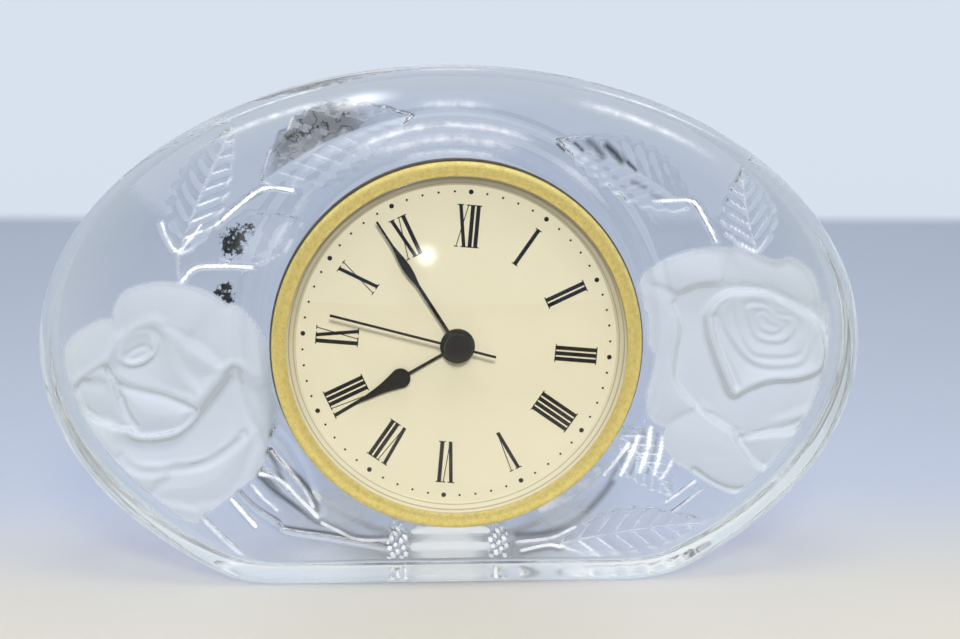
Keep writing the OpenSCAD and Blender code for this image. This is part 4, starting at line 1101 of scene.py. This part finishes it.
# %% Dial plate
bore_r = 3.1
dial_back = 0.9
dial_profile = [(bore_r, dial_back), (lens_r, dial_back), (lens_r, dial_face), (bore_r, dial_face)]
dial = turned_piece("dial_plate", dial_profile, 240, sharp=30)
cream = new_finish("cream lacquer")
cloud = cream.noise(160, 3)
peel = cream.noise(1500, 3)
cream.finish(cream.principled(
    Base_Color=cream.mix(cloud, shade(244, 236, 206), shade(239, 229, 195)),
    Roughness=0.38 + peel * 0.12, Normal=cream.bump(peel, 0.000008, 0.6)))
place(dial, "insert", "dial_cream", cream.owner, "dial")

# %% Strokes of a numeral
ink = 0.03
foot_r = 19.0
numeral_h = 8.2
bar_w = 0.77
bar_gap = 0.31
serif_out = 0.3
serif_t = 0.2
thin = 0.17
v_thick = 0.7
x_thick = 0.68
letter_w = 1.95
letter_gap = 0.36


def upright(left, wide, low=0.0, high=numeral_h):
    """A straight bar as four corners, anticlockwise."""
    return [(left, low), (left + wide, low), (left + wide, high), (left, high)]


def slanted(foot, head, wide):
    """A slanted stroke whose ends are level: from foot to head, of a width measured across."""
    return [(foot, 0), (foot + wide, 0), (head + wide, numeral_h), (head, numeral_h)]


def serifs(left, wide, ends):
    """Hairlines that reach past a stroke's ends, at the foot (0) or the head (1)."""
    return [upright(left - serif_out, wide + 2 * serif_out, end * (numeral_h - serif_t),
                    end * (numeral_h - serif_t) + serif_t) for end in ends]


def letter(sign, left):
    """Strokes and width of one sign whose left side is at left."""
    if sign == "I":
        return [upright(left, bar_w)] + serifs(left, bar_w, (0, 1)), bar_w
    thin_left = left + letter_w - thin
    if sign == "V":
        apex = left + letter_w / 2 - 0.2
        strokes = [slanted(apex, left, v_thick), slanted(apex + 0.35, thin_left, thin)]
        return strokes + serifs(left, v_thick, (1,)) + serifs(thin_left, thin, (1,)), letter_w
    foot_left = left + letter_w - x_thick
    strokes = [slanted(foot_left, left, x_thick), slanted(left, thin_left, thin)]
    strokes += serifs(left, x_thick, (1,)) + serifs(thin_left, thin, (1,))
    return strokes + serifs(foot_left, x_thick, (0,)) + serifs(left, thin, (0,)), letter_w


# %% Numerals round the dial
def numeral(text):
    """The strokes of a whole numeral, centred across."""
    strokes = []
    reach = 0.0
    for place_in_text, sign in enumerate(text):
        if place_in_text:
            reach += bar_gap if text[place_in_text - 1] == sign == "I" else letter_gap
        made, wide = letter(sign, reach)
        strokes += made
        reach += wide
    return np.array(strokes) - np.array([reach / 2, 0])


def at_hour(strokes, hour):
    """Turns strokes to an hour: across goes to the right of the radius, up goes outwards from foot_r."""
    a = hour * math.pi / 6
    outwards = np.array([math.sin(a), math.cos(a)])
    sideways = np.array([math.cos(a), -math.sin(a)])
    return strokes[..., :1] * sideways + (strokes[..., 1:] + foot_r) * outwards


def prisms(outlines, low, high):
    """Closed prisms from flat outlines of n points each, anticlockwise."""
    outlines = np.asarray(outlines)
    count, n = outlines.shape[:2]
    floor_points = np.concatenate([outlines, np.full((count, n, 1), low)], axis=-1)
    top_points = np.concatenate([outlines, np.full((count, n, 1), high)], axis=-1)
    points = np.concatenate([floor_points, top_points], axis=1).reshape(-1, 3)
    k = np.arange(n)
    sides = np.column_stack([k, (k + 1) % n, (k + 1) % n + n, k + n])
    faces = []
    for first in range(0, count * 2 * n, 2 * n):
        faces += (sides + first).tolist()
        faces.append((k + n + first).tolist())
        faces.append((k[::-1] + first).tolist())
    return points, faces


NUMERALS = ["XII", "I", "II", "III", "IIII", "V", "VI", "VII", "VIII", "IX", "X", "XI"]
numeral_strokes = np.concatenate([at_hour(numeral(text), hour) for hour, text in enumerate(NUMERALS)])
print(len(numeral_strokes), "strokes of ink")

# %% Minute track
track_r = 29.65
hour_dot = 0.93
minute_dot = 0.44
dot_sides = 16
minute = np.arange(60)
turn = minute * math.pi / 30
dot_r = np.where(minute % 5 == 0, hour_dot, minute_dot)[:, None] / 2
around = np.linspace(0, 2 * math.pi, dot_sides, endpoint=False)
dot_x = (track_r * np.sin(turn))[:, None] + dot_r * np.cos(around)
dot_y = (track_r * np.cos(turn))[:, None] + dot_r * np.sin(around)
dots = np.stack([dot_x, dot_y], axis=-1)
points, faces = join([prisms(outlines, dial_face, dial_face + ink) for outlines in (numeral_strokes, dots)])
printing = mesh_piece("dial_print", in_insert(points), faces, sharp=30)

# %% Printing ink
black_ink = new_finish("printing ink")
patchy = black_ink.noise(4000, 2)
black_ink.finish(black_ink.principled(Base_Color=black_ink.mix(patchy, shade(6, 6, 6), shade(16, 15, 14)),
                                      Roughness=0.45 + patchy * 0.15, Specular_IOR_Level=0.1))
place(printing, "insert", "hands_black", black_ink.owner)

# %% [markdown]
# ## The hands
# Hands are stamped from thin sheet and lacquered. Each is a strip whose half
# width changes along its length, with a flat back and a bevelled front, so it
# is one function of length and section.

# %% A stamped strip
def strip(stations, halves, low, thick, bevel=0.12):
    """A strip along +y between low and low + thick: a half width at each station, bevelled front edges."""
    y = np.asarray(stations, dtype=float)[:, None]
    w = np.asarray(halves, dtype=float)[:, None]
    cut = np.minimum(bevel, w * 0.6)
    section_x = np.hstack([-w, w, w, w - cut, cut - w, -w])
    section_z = low + thick * np.array([[0, 0, 0.5, 1, 1, 0.5]])
    points = np.stack(np.broadcast_arrays(section_x, y, section_z), axis=-1).reshape(-1, 3)
    faces = [face[::-1] for face in grid_faces(len(y), 6, close_columns=True)]
    faces.append([0, 1, 2, 3, 4, 5])
    faces.append([len(points) - 1 - k for k in range(6)])
    return points, faces


def at_dial_angle(points, degrees):
    """Turns a hand drawn pointing up to its angle, clockwise from twelve."""
    a = math.radians(degrees)
    x, y, z = np.asarray(points, dtype=float).T
    return np.column_stack([x * math.cos(a) + y * math.sin(a), y * math.cos(a) - x * math.sin(a), z])


def button(radius, low, side_top, top, steps=6):
    """A turned button: flat below, with a straight side and an elliptical dome on top."""
    dome = arc((0, side_top), (radius, top - side_top), 0, 90, steps)
    return [(0, low), (radius, low)] + dome


def make_hand(name, parts, degrees, body, node):
    """Joins the parts of a hand, turns it to its angle and rides it on its arbor's body."""
    points, faces = join(parts)
    made = mesh_piece(name, in_insert(at_dial_angle(points, degrees)), faces, sharp=30)
    place(made, body, "hands_black", lacquer.owner, node)


# %% Lacquer of the hands
lacquer = new_finish("black lacquer")
sheen = lacquer.noise(700, 3)
lacquer.finish(lacquer.principled(Base_Color=lacquer.mix(sheen, shade(9, 9, 11), shade(20, 20, 24)),
                                  Roughness=0.1 + sheen * 0.08, Specular_IOR_Level=0.3,
                                  Normal=lacquer.bump(sheen, 0.000006, 0.5)))

# %% Minute hand
hand_t = 0.3
minute_z = 2.9
stations = [0, 8, 14.2, 15.2, 16.4, 18.2, 20, 21.6, 23, 25, 28.6]
halves = [0.35, 0.34, 0.33, 0.5, 0.7, 0.8, 0.66, 0.42, 0.25, 0.22, 0.22]
leaf_strip = strip(stations, halves, minute_z, hand_t)
minute_hub = lathe(button(2.4, minute_z, minute_z + 0.4, minute_z + 0.5), 64, closed=False)
make_hand("minute_leaf", [leaf_strip, minute_hub], 322.4, "minutes", "minute_hand")

# %% Hour hand
hour_z = 1.95
drop_at = 12.6
drop_r = 1.95
drop = [(drop_at + drop_r * math.sin(math.radians(a)), drop_r * math.cos(math.radians(a)))
        for a in (-80, -65, -45, -25, -5, 15, 30)]
outline = [(0, 0.3), (6, 0.3), (10.4, 0.3)] + drop
outline += [(14.6, 1.42), (15.6, 1.16), (16.8, 0.9), (18.2, 0.7), (20, 0.5), (22.2, 0.12)]
drop_strip = strip([y for y, w in outline], [w for y, w in outline], hour_z, hand_t, 0.2)
hour_hub = lathe(button(3.35, hour_z, hour_z + 0.4, hour_z + 0.5), 64, closed=False)
make_hand("hour_drop", [drop_strip, hour_hub], 235.5, "hours", "hour_hand")

# %% Second hand and its cap
second_z = 3.85
second_half = 0.25
needle = strip([-7.5, 0, 25.2], [second_half] * 3, second_z + 0.2, 0.2, 0.04)
cap = lathe(button(2.7, second_z, second_z + 0.35, 4.95, 12), 72, closed=False)
make_hand("second_needle", [needle, cap], 279.8, "seconds", "second_hand")

# %% [markdown]
# ## The lens
# The lens is a shallow dome of mineral glass, pressed against the lip. It is
# 1 mm thick, and the rays of the lamps go straight through it.

# %% Lens
lens_edge = 32.6
lens_t = 1.0
dome_rise = dome_top - lens_front
bend_r = (lens_edge ** 2 + dome_rise ** 2) / (2 * dome_rise)


def dome_height(radius, top):
    """Height of a sphere of radius bend_r whose top is at top."""
    return top - bend_r + np.sqrt(bend_r ** 2 - radius ** 2)


radii = np.linspace(0, lens_edge, 24)
lens_profile = [(r, dome_height(r, dome_top - lens_t)) for r in radii]
lens_profile += [(lens_r, lens_seat), (lens_r, lens_front)]
lens_profile += [(r, dome_height(r, dome_top)) for r in radii[::-1]]
lens = turned_piece("lens_dome", lens_profile, 192, sharp=50, closed=False)
clear_lens = new_finish("lens glass")
bare = clear_lens.principled(Base_Color=shade(252, 253, 253), IOR=1.5, Transmission_Weight=1.0,
                             Roughness=clear_lens.noise(60, 2) * 0.02)
passing = clear_lens.node("ShaderNodeBsdfTransparent", {"Color": shade(252, 251, 249)})
clear_lens.finish(clear_lens.mix_shader(clear_lens.ray("Is Shadow Ray"), bare, passing))
place(lens, "insert", "lens_clear", clear_lens.owner, "lens")

# %% [markdown]
# ## Finishes of the movement
# Behind the dial the construction's own pieces stay, because they already have
# their real shapes. Each gets a finish as its maker leaves it: moulded plastic
# with a fine grain, stamped brass with its rolling marks, bare steel, copper.

# %% Moulded plastic, stamped metal
def moulded(name, light, dark, roughness, grain=900):
    """Plastic: a slight change of tone, and its mould's grain in gloss and relief."""
    made = new_finish(name)
    fine_grain = made.noise(grain, 3)
    tone = made.mix(made.noise(120, 2), light, dark)
    return made.finish(made.principled(Base_Color=tone, Roughness=roughness + fine_grain * 0.18,
                                       Normal=made.bump(fine_grain, 0.00002, 0.5)))


def stamped(name, light, dark, roughness, stretch=(1, 1, 14)):
    """Rolled metal: streaks along one direction change its tone and gloss."""
    made = new_finish(name)
    streak = made.noise(260, 4, 0.6, stretch=stretch)
    tone = made.mix(streak, light, dark)
    return made.finish(made.principled(Base_Color=tone, Metallic=1.0, Roughness=roughness + streak * 0.2,
                                       Normal=made.bump(streak, 0.00001, 0.4)))


# %% Wound copper
def wound():
    """Enamelled wire: fine turns round the coil show as lines across it."""
    made = new_finish("copper wire")
    waves = {"Vector": made.coordinates(), "Scale": 1600.0, "Distortion": 0.4}
    turns = made.node("ShaderNodeTexWave", waves, bands_direction="X")
    tone = made.mix(turns, shade(196, 112, 66), shade(116, 54, 30))
    return made.finish(made.principled(Base_Color=tone, Metallic=0.85, Roughness=0.28 + turns * 0.2,
                                       Normal=made.bump(turns, 0.00004, 0.7)))


# %% One finish for each of the record's slots
FINISHES = {
    "band_rubber": moulded("black rubber", shade(38, 38, 38), shade(52, 52, 51), 0.62, 1400),
    "case_plastic": moulded("ivory plastic", shade(240, 236, 222), shade(232, 227, 212), 0.32, 700),
    "plate_plastic": moulded("white plastic", shade(230, 228, 218), shade(218, 216, 206), 0.4),
    "gear_plastic": moulded("natural plastic", shade(236, 226, 192), shade(226, 214, 176), 0.36),
    "gear_brass": stamped("stamped brass", shade(214, 176, 98), shade(180, 140, 70), 0.24),
    "steel": stamped("plated steel", shade(206, 208, 212), shade(168, 170, 176), 0.22),
    "magnet": moulded("sintered magnet", shade(72, 72, 76), shade(96, 96, 100), 0.55, 2600),
    "copper": wound(),
    "board": moulded("circuit board", shade(34, 92, 52), shade(26, 78, 44), 0.3, 1800),
    "resin": moulded("black resin", shade(20, 20, 20), shade(30, 30, 30), 0.2, 500),
    "battery_can": stamped("battery jacket", shade(212, 213, 216), shade(178, 180, 184), 0.25, (12, 1, 12)),
}
slot_of = {part["node"]: part["material_slot"] for part in frame["record"]["subparts"]}
dressed = 0
for node, piece in frame["nodes"].items():
    if slot_of[node] in FINISHES:
        dressed += 1
        for material_slot in piece.material_slots:
            material_slot.material = FINISHES[slot_of[node]]
print(dressed, "pieces of the construction keep their shape and get a finish")
